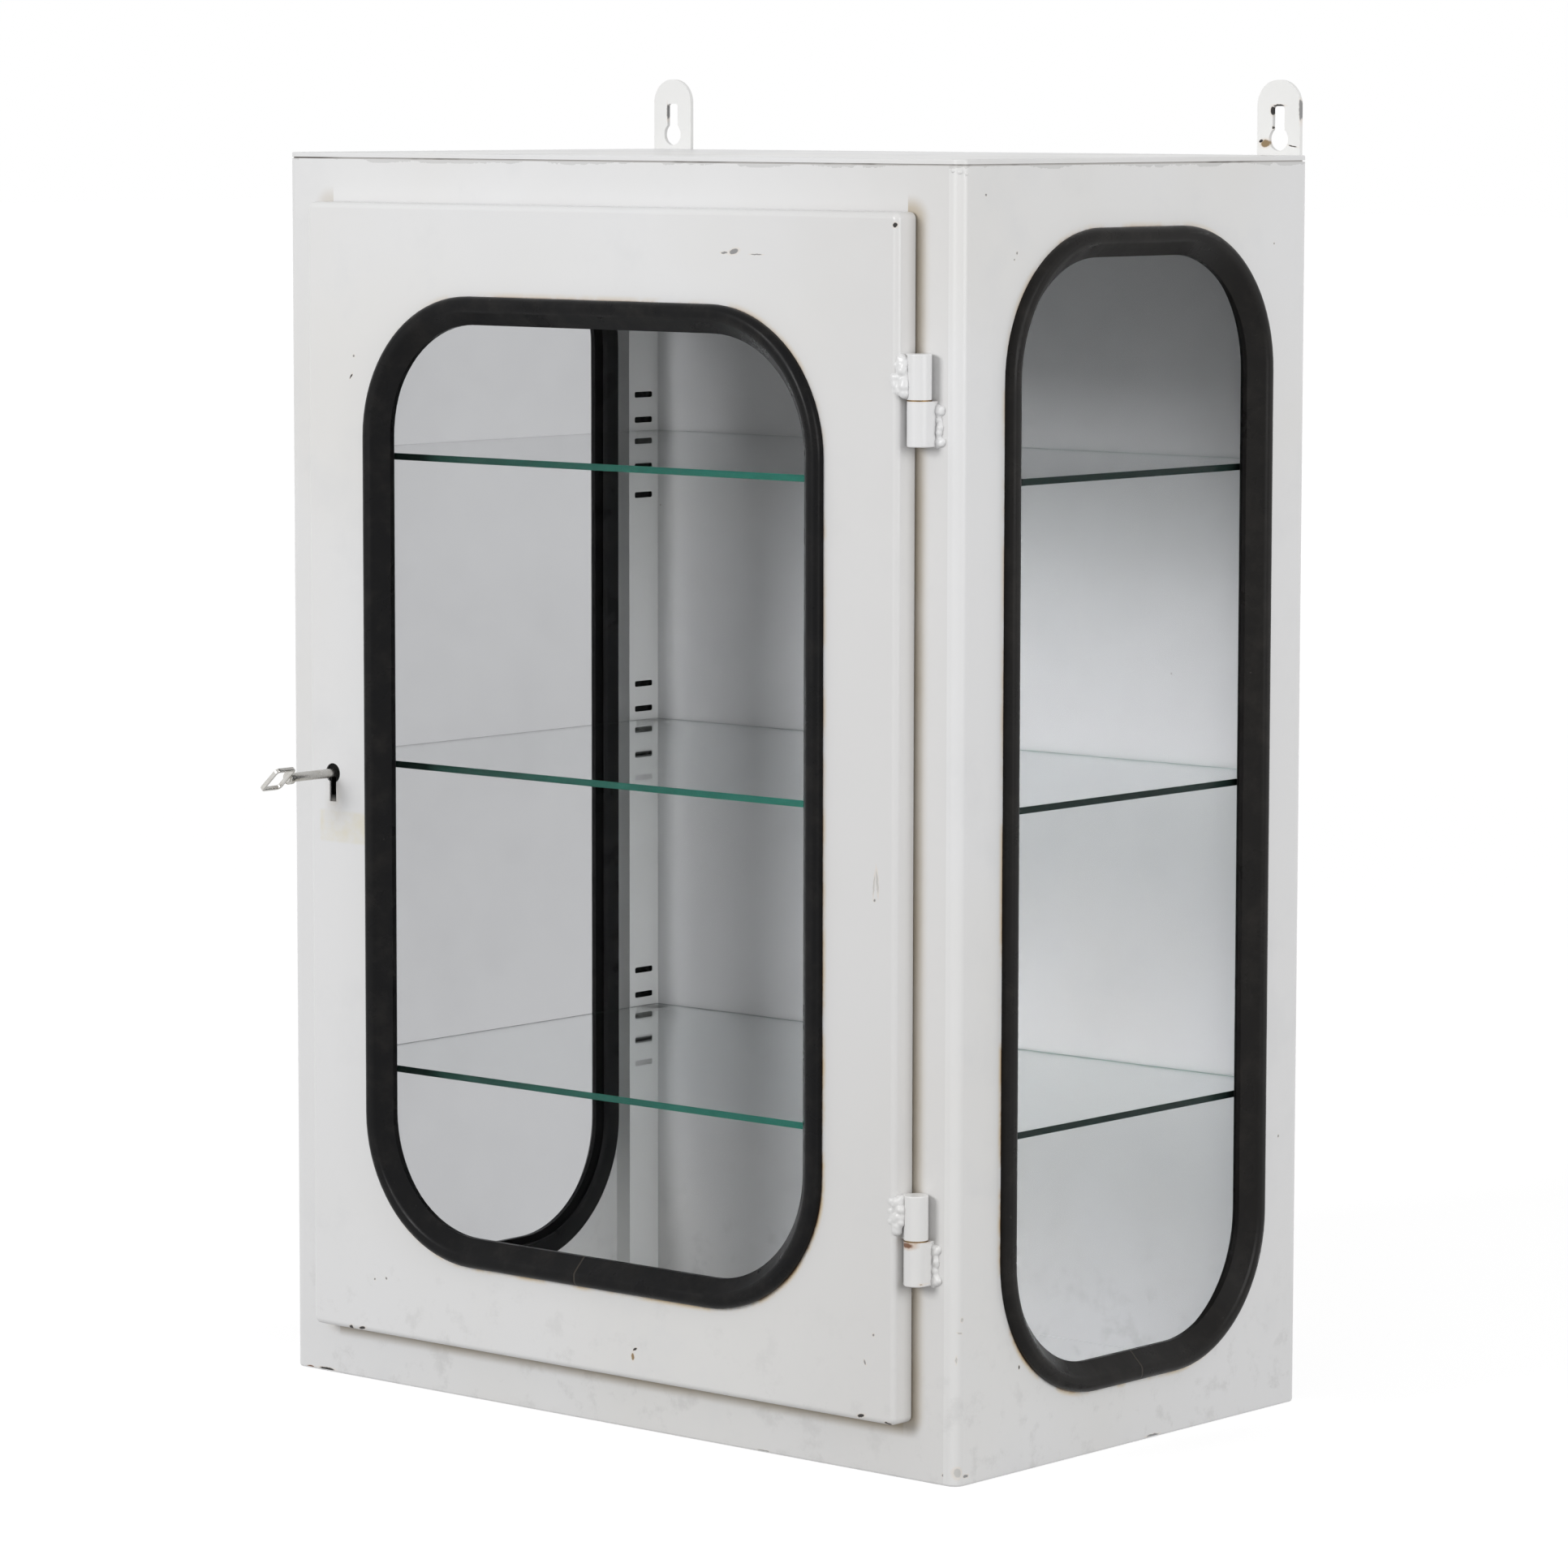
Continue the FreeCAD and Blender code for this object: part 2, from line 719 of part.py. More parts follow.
def shelf_clip(name, index, side, place):
    """A bent steel clip: its hook drops behind the rail and its ledge carries the shelf."""
    body = piece(name)
    slot_floor = clip_slot(index) - D.slot_height / 2
    slot_roof = slot_floor + D.clip_steel
    ledge = shelf_top(index) - D.shelf_glass
    face = HALF_WIDTH - D.rail_standoff
    behind = (face + D.rail_sheet) * side
    hook = (face + D.rail_sheet + D.clip_steel) * side
    riser = (face - D.clip_steel) * side
    tip = (face - D.clip_reach) * side
    start = RAIL_STARTS[place] + (D.rail_width - D.clip_width) / 2
    pad(body, "XZ", start, D.clip_width, outline(
        (hook, slot_roof - D.clip_hook, 0),
        (behind, slot_roof - D.clip_hook, 0),
        (behind, slot_floor, 0),
        (riser, slot_floor, 0),
        (riser, ledge - D.clip_steel, 0),
        (tip, ledge - D.clip_steel, 0),
        (tip, ledge, 0),
        (face * side, ledge, 0),
        (face * side, slot_roof, 0),
        (hook, slot_roof, 0)))
    return body


def shelf_clips(index):
    """The four clips of one shelf."""
    name = f"{SHELF_NAMES[index]}_clips"
    members = []
    for side in SIDE_NAMES:
        for place in RAIL_STARTS:
            members.append(shelf_clip(f"{name}_{place}_{SIDE_NAMES[side]}", index, side, place))
    group(name, members)


KEY_X = DOOR_LEFT + D.key_inset
KEY_Z = (D.door_bottom + DOOR_TOP) / 2 - D.key_drop


def keyhole(radius, slot_width, drop):
    """A keyhole's two outlines: the round for the shank and the slot for the blade."""
    half = slot_width / 2
    return (circle(KEY_X, KEY_Z, radius),
            rectangle(KEY_X - half, KEY_X + half, KEY_Z - drop, KEY_Z))


def door_panel():
    """The door pan: a sheet folded back on four sides, cut for its window and keyhole."""
    body = node("door_panel")
    pad(body, "XZ", DOOR_FACE, D.door_pan,
        rectangle(DOOR_LEFT, DOOR_RIGHT, D.door_bottom, DOOR_TOP, D.door_bend_radius))
    inside_bend = D.door_bend_radius - D.sheet_thickness
    cut(body, "XZ", DOOR_INSIDE, D.door_pan + D.cut_overrun,
        rectangle(DOOR_LEFT + D.sheet_thickness, DOOR_RIGHT - D.sheet_thickness, D.door_bottom + D.sheet_thickness,
                  DOOR_TOP - D.sheet_thickness, inside_bend))
    round_edges(body, inside_bend - D.sheet_thickness / 2, edges_at("Y", DOOR_INSIDE))
    round_edges(body, D.door_bend_radius - D.sheet_thickness / 2, edges_at("Y", DOOR_FACE))
    DOOR_WINDOW.cut_sheet(body)
    start = DOOR_FACE - D.cut_overrun
    through = D.sheet_thickness + D.cut_overrun * 2
    for loop in keyhole(D.keyhole_radius, D.keyhole_slot_width, D.keyhole_slot_drop):
        cut(body, "XZ", start, through, loop)


HINGE_X = DOOR_RIGHT + D.hinge_offset
HINGE_Y = FRONT - D.hinge_clear - D.hinge_radius
HINGE_SPLITS = {"lower": D.door_bottom + D.lower_hinge_inset, "upper": DOOR_TOP - D.upper_hinge_inset}


def hinge(place):
    """One lift-off hinge: two welded barrels, the pin in the lower one and the washer between."""
    split = HINGE_SPLITS[place]
    barrel = circle(HINGE_X, HINGE_Y, D.hinge_radius)

    frame_half = node(f"{place}_hinge_frame_half")
    frame_low = split - D.hinge_half
    pad(frame_half, "XY", frame_low, D.hinge_half, barrel)
    pad(frame_half, "XY", frame_low, D.hinge_half,
        rectangle(HINGE_X + D.hinge_radius - D.hinge_leaf, HINGE_X + D.hinge_radius, HINGE_Y, FRONT))
    round_edges(frame_half, D.hinge_edge_round, edges_at("Z", frame_low))
    cut(frame_half, "XY", split - D.pin_depth, D.pin_depth + D.cut_overrun,
        circle(HINGE_X, HINGE_Y, D.pin_radius + D.pin_press_gap))

    washer = node(f"{place}_hinge_washer")
    pad(washer, "XY", split, D.hinge_washer, barrel, circle(HINGE_X, HINGE_Y, D.pin_radius + D.pin_running_gap))

    pin = node(f"{place}_hinge_pin")
    pad(pin, "XY", split - D.pin_depth, D.pin_depth * 2, circle(HINGE_X, HINGE_Y, D.pin_radius))
    chamfer_edges(pin, D.pin_chamfer, edges_at("Z", split - D.pin_depth), edges_at("Z", split + D.pin_depth))

    door_half = node(f"{place}_hinge_door_half")
    door_low = split + D.hinge_washer + D.hinge_play
    leaf_front = HINGE_Y - D.hinge_leaf / 2
    pad(door_half, "XY", door_low, D.hinge_half, barrel)
    pad(door_half, "XY", door_low, D.hinge_half,
        rectangle(DOOR_RIGHT, HINGE_X, leaf_front, leaf_front + D.hinge_leaf))
    round_edges(door_half, D.hinge_edge_round, edges_at("Z", door_low + D.hinge_half))
    bore_top = split + D.pin_depth + D.pin_end_gap
    cut(door_half, "XY", door_low - D.cut_overrun, bore_top - door_low + D.cut_overrun,
        circle(HINGE_X, HINGE_Y, D.pin_radius + D.pin_running_gap))


CASE_LEFT = -OPENING + D.lock_clear
CASE_RIGHT = CASE_LEFT + D.case_width
CASE_LOW = KEY_Z - D.case_below
CASE_HIGH = KEY_Z + D.case_above
CASE_FLOOR = DOOR_INSIDE + D.case_sheet
BOLT_FRONT = FRONT + D.sheet_thickness + D.bolt_gap
BOLT_REAR = BOLT_FRONT + D.bolt_steel
COVER_INSIDE = BOLT_REAR + D.bolt_play
COVER_OUTSIDE = COVER_INSIDE + D.cover_steel
BOLT_LOW = KEY_Z + D.bolt_low
BOLT_HIGH = BOLT_LOW + D.bolt_height
GUIDE_X = CASE_LEFT + D.guide_inset
GUIDE_Z = KEY_Z + D.guide_rise
PILLAR_X = CASE_RIGHT - D.case_sheet - D.pillar_corner
PILLAR_HEIGHTS = (KEY_Z - D.pillar_low_drop, KEY_Z + D.pillar_high_rise)
STUD_X = (CASE_LEFT + CASE_RIGHT) / 2
STUD_HEIGHTS = (CASE_LOW - D.case_ear / 2, CASE_HIGH + D.case_ear / 2)


def lock_case():
    """The lock's folded case on the inside of the door, with an ear above and below."""
    body = node("lock_case")
    pad(body, "XZ", DOOR_INSIDE, D.case_sheet,
        rectangle(CASE_LEFT, CASE_RIGHT, CASE_LOW - D.case_ear, CASE_HIGH + D.case_ear))
    wall = D.case_sheet
    pad(body, "XZ", CASE_FLOOR, COVER_INSIDE - CASE_FLOOR,
        rectangle(CASE_LEFT, CASE_RIGHT, CASE_LOW, CASE_HIGH),
        rectangle(CASE_LEFT + wall, CASE_RIGHT - wall, CASE_LOW + wall, CASE_HIGH - wall))
    start = DOOR_INSIDE - D.cut_overrun
    through = D.case_sheet + D.cut_overrun * 2
    slot_width = D.bit_steel + D.bolt_play * 2
    for loop in keyhole(D.key_radius + D.key_running_gap, slot_width, D.bit_reach + D.bolt_play):
        cut(body, "XZ", start, through, loop)
    for height in STUD_HEIGHTS:
        cut(body, "XZ", start, through, circle(STUD_X, height, D.stud_radius + D.stud_gap))
    cut(body, "YZ", CASE_LEFT - D.cut_overrun, D.case_sheet + D.cut_overrun * 2,
        rectangle(BOLT_FRONT - D.bolt_gap, COVER_INSIDE + D.cut_overrun, BOLT_LOW - D.bolt_play,
                  BOLT_HIGH + D.bolt_play))


def lock_cover():
    """The plate that closes the lock case and steadies the key's tip."""
    body = node("lock_cover")
    pad(body, "XZ", COVER_INSIDE, D.cover_steel, rectangle(CASE_LEFT, CASE_RIGHT, CASE_LOW, CASE_HIGH))
    start = COVER_INSIDE - D.cut_overrun
    through = D.cover_steel + D.cut_overrun * 2
    cut(body, "XZ", start, through, circle(KEY_X, KEY_Z, D.key_tip_radius + D.key_running_gap))
    cut(body, "XZ", start, through, circle(GUIDE_X, GUIDE_Z, D.guide_radius + D.thread_gap))
    for height in PILLAR_HEIGHTS:
        cut(body, "XZ", start, through, circle(PILLAR_X, height, D.screw_radius + D.screw_gap))


def lock_fixings():
    """The pillars inside the case, their screws, and the door's studs with their nuts."""
    pillars = []
    screws = []
    studs = []
    nuts = []
    for index, height in enumerate(PILLAR_HEIGHTS, 1):
        pillar = piece(f"lock_pillar_{index}")
        pad(pillar, "XZ", CASE_FLOOR, COVER_INSIDE - CASE_FLOOR, circle(PILLAR_X, height, D.pillar_radius))
        cut(pillar, "XZ", COVER_INSIDE - D.screw_length, D.screw_length + D.cut_overrun,
            circle(PILLAR_X, height, D.screw_radius + D.thread_gap))
        pillars.append(pillar)
        screw = piece(f"lock_screw_{index}")
        shank = D.screw_length + D.cover_steel - D.screw_gap
        pad(screw, "XZ", COVER_OUTSIDE - shank, shank, circle(PILLAR_X, height, D.screw_radius))
        pad(screw, "XZ", COVER_OUTSIDE, D.screw_head, circle(PILLAR_X, height, D.screw_head_radius))
        screws.append(screw)
    for index, height in enumerate(STUD_HEIGHTS, 1):
        stud = piece(f"lock_stud_{index}")
        pad(stud, "XZ", DOOR_INSIDE, D.stud_length, circle(STUD_X, height, D.stud_radius))
        studs.append(stud)
        nuts.append(lock_nut(index, height))
    group("lock_pillars", pillars)
    group("lock_cover_screws", screws)
    group("lock_studs", studs)
    group("lock_nuts", nuts)


def lock_nut(index, height):
    """A hexagon nut on a stud."""
    across = FreeCAD.Rotation(FreeCAD.Vector(1, 0, 0), -90)
    hexagon = DOC.addObject("Part::Prism", f"nut_hexagon_{index}")
    hexagon.Polygon = NUT_SIDES
    hole = DOC.addObject("Part::Cylinder", f"nut_hole_{index}")
    bore = D.stud_radius + D.thread_gap
    drilled = D.nut_height + D.cut_overrun * 2
    for item, path, size in ((hexagon, "Circumradius", D.nut_circle_radius), (hexagon, "Height", D.nut_height),
                             (hole, "Radius", bore), (hole, "Height", drilled)):
        setattr(item, path, number(size))
        bind(item, path, size)
    for item, start in ((hexagon, CASE_FLOOR), (hole, CASE_FLOOR - D.cut_overrun)):
        place = FreeCAD.Vector(number(STUD_X), number(start), number(height))
        item.Placement = FreeCAD.Placement(place, across)
        for path, size in (("x", STUD_X), ("y", start), ("z", height)):
            bind(item, f"Placement.Base.{path}", size)
    nut = DOC.addObject("Part::Cut", f"nut_{index}")
    nut.Base = hexagon
    nut.Tool = hole
    return nut


def lock_bolt():
    """The sliding bolt: a talon for the key's blade below and a guide slot above it."""
    body = node("lock_bolt")
    pad(body, "XZ", BOLT_FRONT, D.bolt_steel,
        rectangle(CASE_LEFT, CASE_RIGHT - D.case_sheet - D.bolt_tail_gap, BOLT_LOW, BOLT_HIGH, D.bolt_nose_round))
    start = BOLT_FRONT - D.cut_overrun
    through = D.bolt_steel + D.cut_overrun * 2
    talon = KEY_X + D.bolt_throw / 2
    cut(body, "XZ", start, through,
        rectangle(talon - D.talon_width / 2, talon + D.talon_width / 2, BOLT_LOW - D.cut_overrun,
                  BOLT_LOW + D.talon_depth))
    slot = D.guide_radius + D.guide_gap
    cut(body, "XZ", start, through,
        rectangle(GUIDE_X - slot, GUIDE_X + D.bolt_throw + slot, GUIDE_Z - slot, GUIDE_Z + slot))


def bolt_guides():
    """The pin that the bolt slides on, and the leaf spring that bears on its top edge."""
    pin = node("bolt_guide_pin")
    start = BOLT_FRONT - D.guide_front
    pad(pin, "XZ", start, COVER_OUTSIDE - start, circle(GUIDE_X, GUIDE_Z, D.guide_radius))

    spring = node("bolt_spring")
    bend = CASE_RIGHT - D.spring_inset
    left = bend - D.spring_base
    high = CASE_HIGH - D.case_sheet
    foot = BOLT_HIGH + D.bolt_play
    middle = (BOLT_FRONT + BOLT_REAR - D.spring_width) / 2
    pad(spring, "XZ", middle, D.spring_width, outline(
        (left, high, 0),
        (left, high - D.spring_steel, 0),
        (bend - D.spring_steel, high - D.spring_steel, 0),
        (bend - D.spring_steel, foot, 0),
        (bend + D.spring_foot, foot, 0),
        (bend + D.spring_foot, foot + D.spring_steel, 0),
        (bend, foot + D.spring_steel, 0),
        (bend, high, 0)))


def key():
    """The key in the lock, its blade turned to the right of upright."""
    body = node("key")
    bow_end = DOOR_FACE - D.key_reach
    bow_root = bow_end + D.bow_length
    shoulder = COVER_INSIDE - D.key_play
    half = D.bow_width / 2
    inner = half - D.bow_rim
    pad(body, "YZ", -D.bow_steel / 2, D.bow_steel,
        rectangle(bow_end, bow_root, -half, half, D.bow_corner),
        rectangle(bow_end + D.bow_rim, bow_root - D.bow_rim, -inner, inner, D.bow_corner - D.bow_rim))
    round_edges(body, D.bow_round, edges_at("X", D.bow_steel / 2), edges_at("X", -D.bow_steel / 2))
    shank = bow_root - D.bow_rim / 2
    pad(body, "XZ", shank, shoulder - shank, circle(ZERO, ZERO, D.key_radius))
    pad(body, "XZ", bow_root, D.collar_length, circle(ZERO, ZERO, D.collar_radius))
    tip_end = COVER_OUTSIDE + D.key_tip_out
    pad(body, "XZ", shoulder, tip_end - shoulder, circle(ZERO, ZERO, D.key_tip_radius))
    pad(body, "YZ", -D.bit_steel / 2, D.bit_steel,
        rectangle(shoulder - D.bit_length, shoulder, ZERO, D.bit_reach))
    turn = FreeCAD.Rotation(FreeCAD.Vector(0, 1, 0), number(D.key_half_turn))
    body.Placement = FreeCAD.Placement(FreeCAD.Vector(number(KEY_X), 0, number(KEY_Z)), turn)
    bind(body, "Placement.Base.x", KEY_X)
    bind(body, "Placement.Base.z", KEY_Z)
    bind(body, "Placement.Rotation.Angle", D.key_half_turn)


def carcass():
    """Everything that hangs on the wall."""
    for side in SIDE_NAMES:
        side_panel(side)
        front_stile(side)
    top_panel()
    bottom_panel()
    front_rail("front_top_rail", OPENING_HIGH, WALL_TOP, OPENING_HIGH)
    front_rail("front_bottom_rail", D.sheet_thickness, OPENING_LOW, OPENING_LOW - D.sheet_thickness)
    back_panel()
    for side in SIDE_NAMES:
        hanging_strap(side)
        window_seal(f"{SIDE_NAMES[side]}_window_seal", SIDE_WINDOWS[side])
        window_pane(f"{SIDE_NAMES[side]}_window_pane", SIDE_WINDOWS[side])
        for place in RAIL_STARTS:
            slotted_rail(side, place)
    for index in range(len(SHELF_NAMES)):
        shelf(index)
        shelf_clips(index)


def door():
    """The door with its glazing, hinges and lock."""
    door_panel()
    window_seal("door_window_seal", DOOR_WINDOW)
    window_pane("door_window_pane", DOOR_WINDOW)
    for place in HINGE_SPLITS:
        hinge(place)
    lock_case()
    lock_cover()
    lock_fixings()
    lock_bolt()
    bolt_guides()
    key()


def check():
    """Stops if any object of the document failed or any sub-part is not sound."""
    DOC.recompute()
    for item in DOC.Objects:
        if "Invalid" in item.State or "Error" in item.State:
            raise RuntimeError(f"{item.Label} failed: {item.State}")
    for item in NODES:
        if item.Shape.isNull() or not item.Shape.isValid() or not item.Shape.Solids:
            raise RuntimeError(f"{item.Label} has no sound shape")


def write():
    """Writes each sub-part to its own file."""
    os.makedirs("parts", exist_ok=True)
    for item in NODES:
        item.Shape.exportStep(f"parts/{item.Label}.step")
        print(f"{item.Label}: {len(item.Shape.Solids)} solid(s), {item.Shape.Volume:.1f} cubic millimetres")


carcass()
door()
check()
write()
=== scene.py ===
"""The medicine cabinet's looks: materials, small welded details, stage, light and camera."""
import json
import math
import random

import bmesh
import bpy
from mathutils import Matrix, Vector


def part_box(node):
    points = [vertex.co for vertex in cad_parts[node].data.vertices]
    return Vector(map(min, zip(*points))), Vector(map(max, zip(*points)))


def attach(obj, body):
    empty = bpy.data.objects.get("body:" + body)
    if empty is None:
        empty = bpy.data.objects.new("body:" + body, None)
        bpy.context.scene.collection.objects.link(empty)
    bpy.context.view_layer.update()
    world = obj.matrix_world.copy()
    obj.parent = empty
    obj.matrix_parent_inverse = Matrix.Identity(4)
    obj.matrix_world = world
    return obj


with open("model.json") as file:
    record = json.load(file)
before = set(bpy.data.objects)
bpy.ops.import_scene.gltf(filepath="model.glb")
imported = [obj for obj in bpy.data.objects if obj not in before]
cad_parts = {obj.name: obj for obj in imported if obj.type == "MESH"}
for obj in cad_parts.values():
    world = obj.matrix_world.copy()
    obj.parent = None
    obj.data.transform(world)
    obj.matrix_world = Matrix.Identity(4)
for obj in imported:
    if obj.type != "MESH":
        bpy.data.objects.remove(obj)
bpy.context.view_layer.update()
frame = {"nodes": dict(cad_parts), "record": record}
NODES = frame["nodes"]
MM = 0.001
AXES = X, Y, Z = range(3)


def metres(values):
    """Lengths in millimetres as metres."""
    return [value * MM for value in values]


# places on the cabinet, in millimetres, from the frame

def span(name, axis):
    """The lowest and highest place of a node along an axis."""
    low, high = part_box(name)
    return low[axis] / MM, high[axis] / MM


DOOR_FACE = span("door_panel", Y)[0]
DOOR_RIGHT = span("door_panel", X)[1]
FRONT = span("front_top_rail", Y)[0]
SIDE_FACE = span("right_side_panel", X)[1]
WALL_TOP = span("right_side_panel", Z)[1]
STRAP_FACE = span("right_hanging_strap", Y)[0]
KEY_X = sum(span("key", X)) / 2
KEY_Z = sum(span("key", Z)) / 2
HINGE_X = sum(span("upper_hinge_pin", X)) / 2
HINGE_Y = sum(span("upper_hinge_pin", Y)) / 2
BARREL = span("upper_hinge_washer", X)[1] - HINGE_X
KEYHOLE = (KEY_X, span("lock_case", Y)[0], KEY_Z)


# node trees

class Tree:
    """A material's node tree, with short ways to add nodes and join them."""

    def __init__(self, name):
        self.material = bpy.data.materials.new(name)
        self.material.use_nodes = True
        self.tree = self.material.node_tree
        self.tree.nodes.clear()
        self.output = self.add("ShaderNodeOutputMaterial")
        self.place = self.add("ShaderNodeTexCoord").outputs["Object"]
        split = self.add("ShaderNodeSeparateXYZ")
        self.put(split.inputs[0], self.place)
        self.axes = split.outputs

    def add(self, kind, settings=None, **inputs):
        """A new node, with its settings and the values of its inputs."""
        node = self.tree.nodes.new(kind)
        for name, value in (settings or {}).items():
            setattr(node, name, value)
        for name, value in inputs.items():
            self.put(node.inputs[name.replace("_", " ")], value)
        return node

    def put(self, socket, value):
        """Links a value to a socket, or sets it there."""
        if isinstance(value, bpy.types.NodeSocket):
            self.tree.links.new(value, socket)
        elif value is not None:
            socket.default_value = value

    def math(self, operation, first, second=None):
        node = self.add("ShaderNodeMath", {"operation": operation})
        self.put(node.inputs[0], first)
        self.put(node.inputs[1], second)
        return node.outputs[0]

    def vector(self, operation, first, second=None):
        node = self.add("ShaderNodeVectorMath", {"operation": operation})
        self.put(node.inputs[0], first)
        self.put(node.inputs[1], second)
        return node.outputs["Value" if operation in ("LENGTH", "DOT_PRODUCT") else "Vector"]

    def times(self, first, *others):
        """The product of values."""
        for other in others:
            first = self.math("MULTIPLY", first, other)
        return first

    def most(self, values):
        """The highest of some values."""
        result = values[0]
        for value in values[1:]:
            result = self.math("MAXIMUM", result, value)
        return result

    def ramp(self, value, low, high, to_low=0.0, to_high=1.0):
        """A smooth change from one result to another while a value goes from low to high."""
        node = self.add("ShaderNodeMapRange", {"interpolation_type": "SMOOTHSTEP"}, Value=value, From_Min=low,
                        From_Max=high, To_Min=to_low, To_Max=to_high)
        return node.outputs["Result"]

    def noise(self, scale, detail=4.0, roughness=0.55, output="Fac"):
        node = self.add("ShaderNodeTexNoise", Vector=self.place, Scale=scale, Detail=detail,
                        Roughness=roughness)
        return node.outputs[output]

    def warped(self, scale, reach):
        """The place, shaken by noise, for ragged outlines."""
        drift = self.vector("SUBTRACT", self.noise(scale, 3.0, output="Color"), (0.5, 0.5, 0.5))
        return self.vector("ADD", self.place, self.vector("MULTIPLY", drift, metres([reach] * 3)))

    def reached(self, step, reach):
        """The length of a step, where 1 is the surface of an ellipsoid with half axes in millimetres."""
        return self.vector("LENGTH", self.vector("MULTIPLY", step, [1.0 / half for half in metres(reach)]))

    def mix(self, factor, first, second):
        """A colour between two others."""
        node = self.add("ShaderNodeMix", {"data_type": "RGBA"}, Factor=factor, A=first, B=second)
        return node.outputs["Result"]

    def bump(self, height, distance, strength, normal=None):
        node = self.add("ShaderNodeBump", Strength=strength, Distance=distance * MM, Height=height,
                        Normal=normal)
        return node.outputs["Normal"]

    def middle_off(self, axis, low, high):
        """The distance from the middle of a range along an axis, in metres."""
        return self.math("ABSOLUTE", self.math("SUBTRACT", self.axes[axis], (low + high) / 2 * MM))

    def within(self, box, soft):
        """A mask that is 1 inside a box given in millimetres, with soft sides."""
        sides = []
        for axis, (low, high) in enumerate(zip(*box)):
            off = self.middle_off(axis, low, high)
            half = (high - low) / 2
            sides.append(self.ramp(off, (half - soft) * MM, (half + soft) * MM, 1.0, 0.0))
        return self.times(*sides)

    def outside(self, axis, box, corner):
        """The distance outside a round-cornered outline across an axis and Z, in metres."""
        squares = []
        for along in (axis, Z):
            low, high = box[along]
            off = self.middle_off(along, low, high)
            past = self.math("MAXIMUM", self.math("SUBTRACT", off, ((high - low) / 2 - corner) * MM), 0.0)
            squares.append(self.math("MULTIPLY", past, past))
        return self.math("SUBTRACT", self.math("SQRT", self.math("ADD", *squares)), corner * MM)

    def finish(self, shader):
        """Joins the shader to the output, and gives the material."""
        self.tree.links.new(shader.outputs[0], self.output.inputs["Surface"])
        return self.material


# marks in the paint

BARE = (0.020, 0.018, 0.017, 1.0)
SCRATCH = (0.30, 0.30, 0.30, 1.0)
RUST = (0.17, 0.070, 0.030, 1.0)
OCHRE = (0.30, 0.21, 0.11, 1.0)
FAINT = (0.60, 0.59, 0.57, 1.0)
PRIMER = (0.80, 0.66, 0.52, 1.0)
RAGGED = 420.0
MARK_DEPTH = 4.0
# along, up, half length, half height, tilt in degrees, colour
DOOR_MARKS = [
    (111.0, 696.7, 3.6, 1.5, 14.0, SCRATCH),
    (103.6, 695.8, 2.4, 0.7, 0.0, SCRATCH),
    (128.0, 695.3, 4.5, 0.35, 0.0, SCRATCH),
    (-200.8, 34.6, 2.2, 1.4, 30.0, BARE),
    (-191.0, 35.4, 3.0, 1.0, 12.0, BARE),
    (-195.6, 616.4, 2.0, 0.55, 55.0, BARE),
    (-193.4, 628.7, 0.8, 0.7, 0.0, SCRATCH),
    (230.2, 713.4, 1.5, 1.3, 50.0, BARE),
    (34.3, 52.0, 1.9, 0.6, 32.0, BARE),
    (32.6, 47.5, 1.2, 2.2, 0.0, OCHRE),
    (208.1, 36.6, 2.8, 1.0, 14.0, BARE),
    (227.5, 34.6, 2.6, 0.9, -8.0, BARE),
    (217.2, 84.5, 0.8, 0.8, 0.0, SCRATCH),
    (211.0, 68.0, 0.6, 1.6, 20.0, SCRATCH),
    (-179.5, 67.2, 0.7, 0.7, 0.0, SCRATCH),
    (-169.8, 68.9, 0.8, 0.8, 0.0, SCRATCH),
    (219.0, 344.0, 0.8, 7.0, 6.0, FAINT),
    (216.6, 342.0, 0.5, 6.0, -5.0, FAINT),
    (217.0, 333.5, 0.7, 0.8, 0.0, SCRATCH),
]
FRONT_MARKS = [
    (-237.7, 1.4, 6.5, 0.9, 0.0, BARE),
    (-252.0, 1.0, 3.2, 0.7, 0.0, RUST),
    (120.0, 0.8, 5.0, 0.6, 0.0, SCRATCH),
    (256.0, 6.0, 1.4, 1.0, 0.0, SCRATCH),
]
SIDE_MARKS = [
    (-141.5, 730.2, 0.7, 0.7, 0.0, SCRATCH),
    (-113.7, 697.3, 0.7, 0.9, 0.0, SCRATCH),
    (-115.9, 693.7, 0.5, 0.5, 0.0, SCRATCH),
    (141.3, 164.3, 0.7, 0.7, 0.0, SCRATCH),
    (128.2, 698.6, 0.6, 0.6, 0.0, SCRATCH),
    (-106.0, 61.0, 0.6, 1.3, 0.0, BARE),
    (-157.5, 96.0, 0.9, 1.1, 0.0, FAINT),
    (-159.0, 88.5, 1.4, 0.5, 20.0, FAINT),
    (-160.5, 73.0, 0.5, 2.2, 0.0, FAINT),
    (-160.0, 8.0, 2.2, 3.0, 0.0, FAINT),
    (-154.0, 5.5, 2.2, 1.0, 0.0, SCRATCH),
    (20.0, 1.4, 6.0, 0.7, 0.0, SCRATCH),
]
STRAP_MARKS = [
    (232.5, 756.8, 3.6, 2.4, 8.0, OCHRE),
    (229.2, 758.2, 1.5, 0.9, 20.0, BARE),
    (237.6, 776.2, 1.7, 2.6, 0.0, BARE),
    (242.0, 779.3, 4.4, 0.7, 0.0, BARE),
    (252.6, 755.4, 3.4, 0.4, -8.0, BARE),
    (238.0, 766.0, 0.7, 1.1, 0.0, BARE),
    (257.6, 777.0, 0.6, 7.0, 0.0, SCRATCH),
    (-246.4, 774.0, 0.6, 5.0, 0.0, SCRATCH),
]
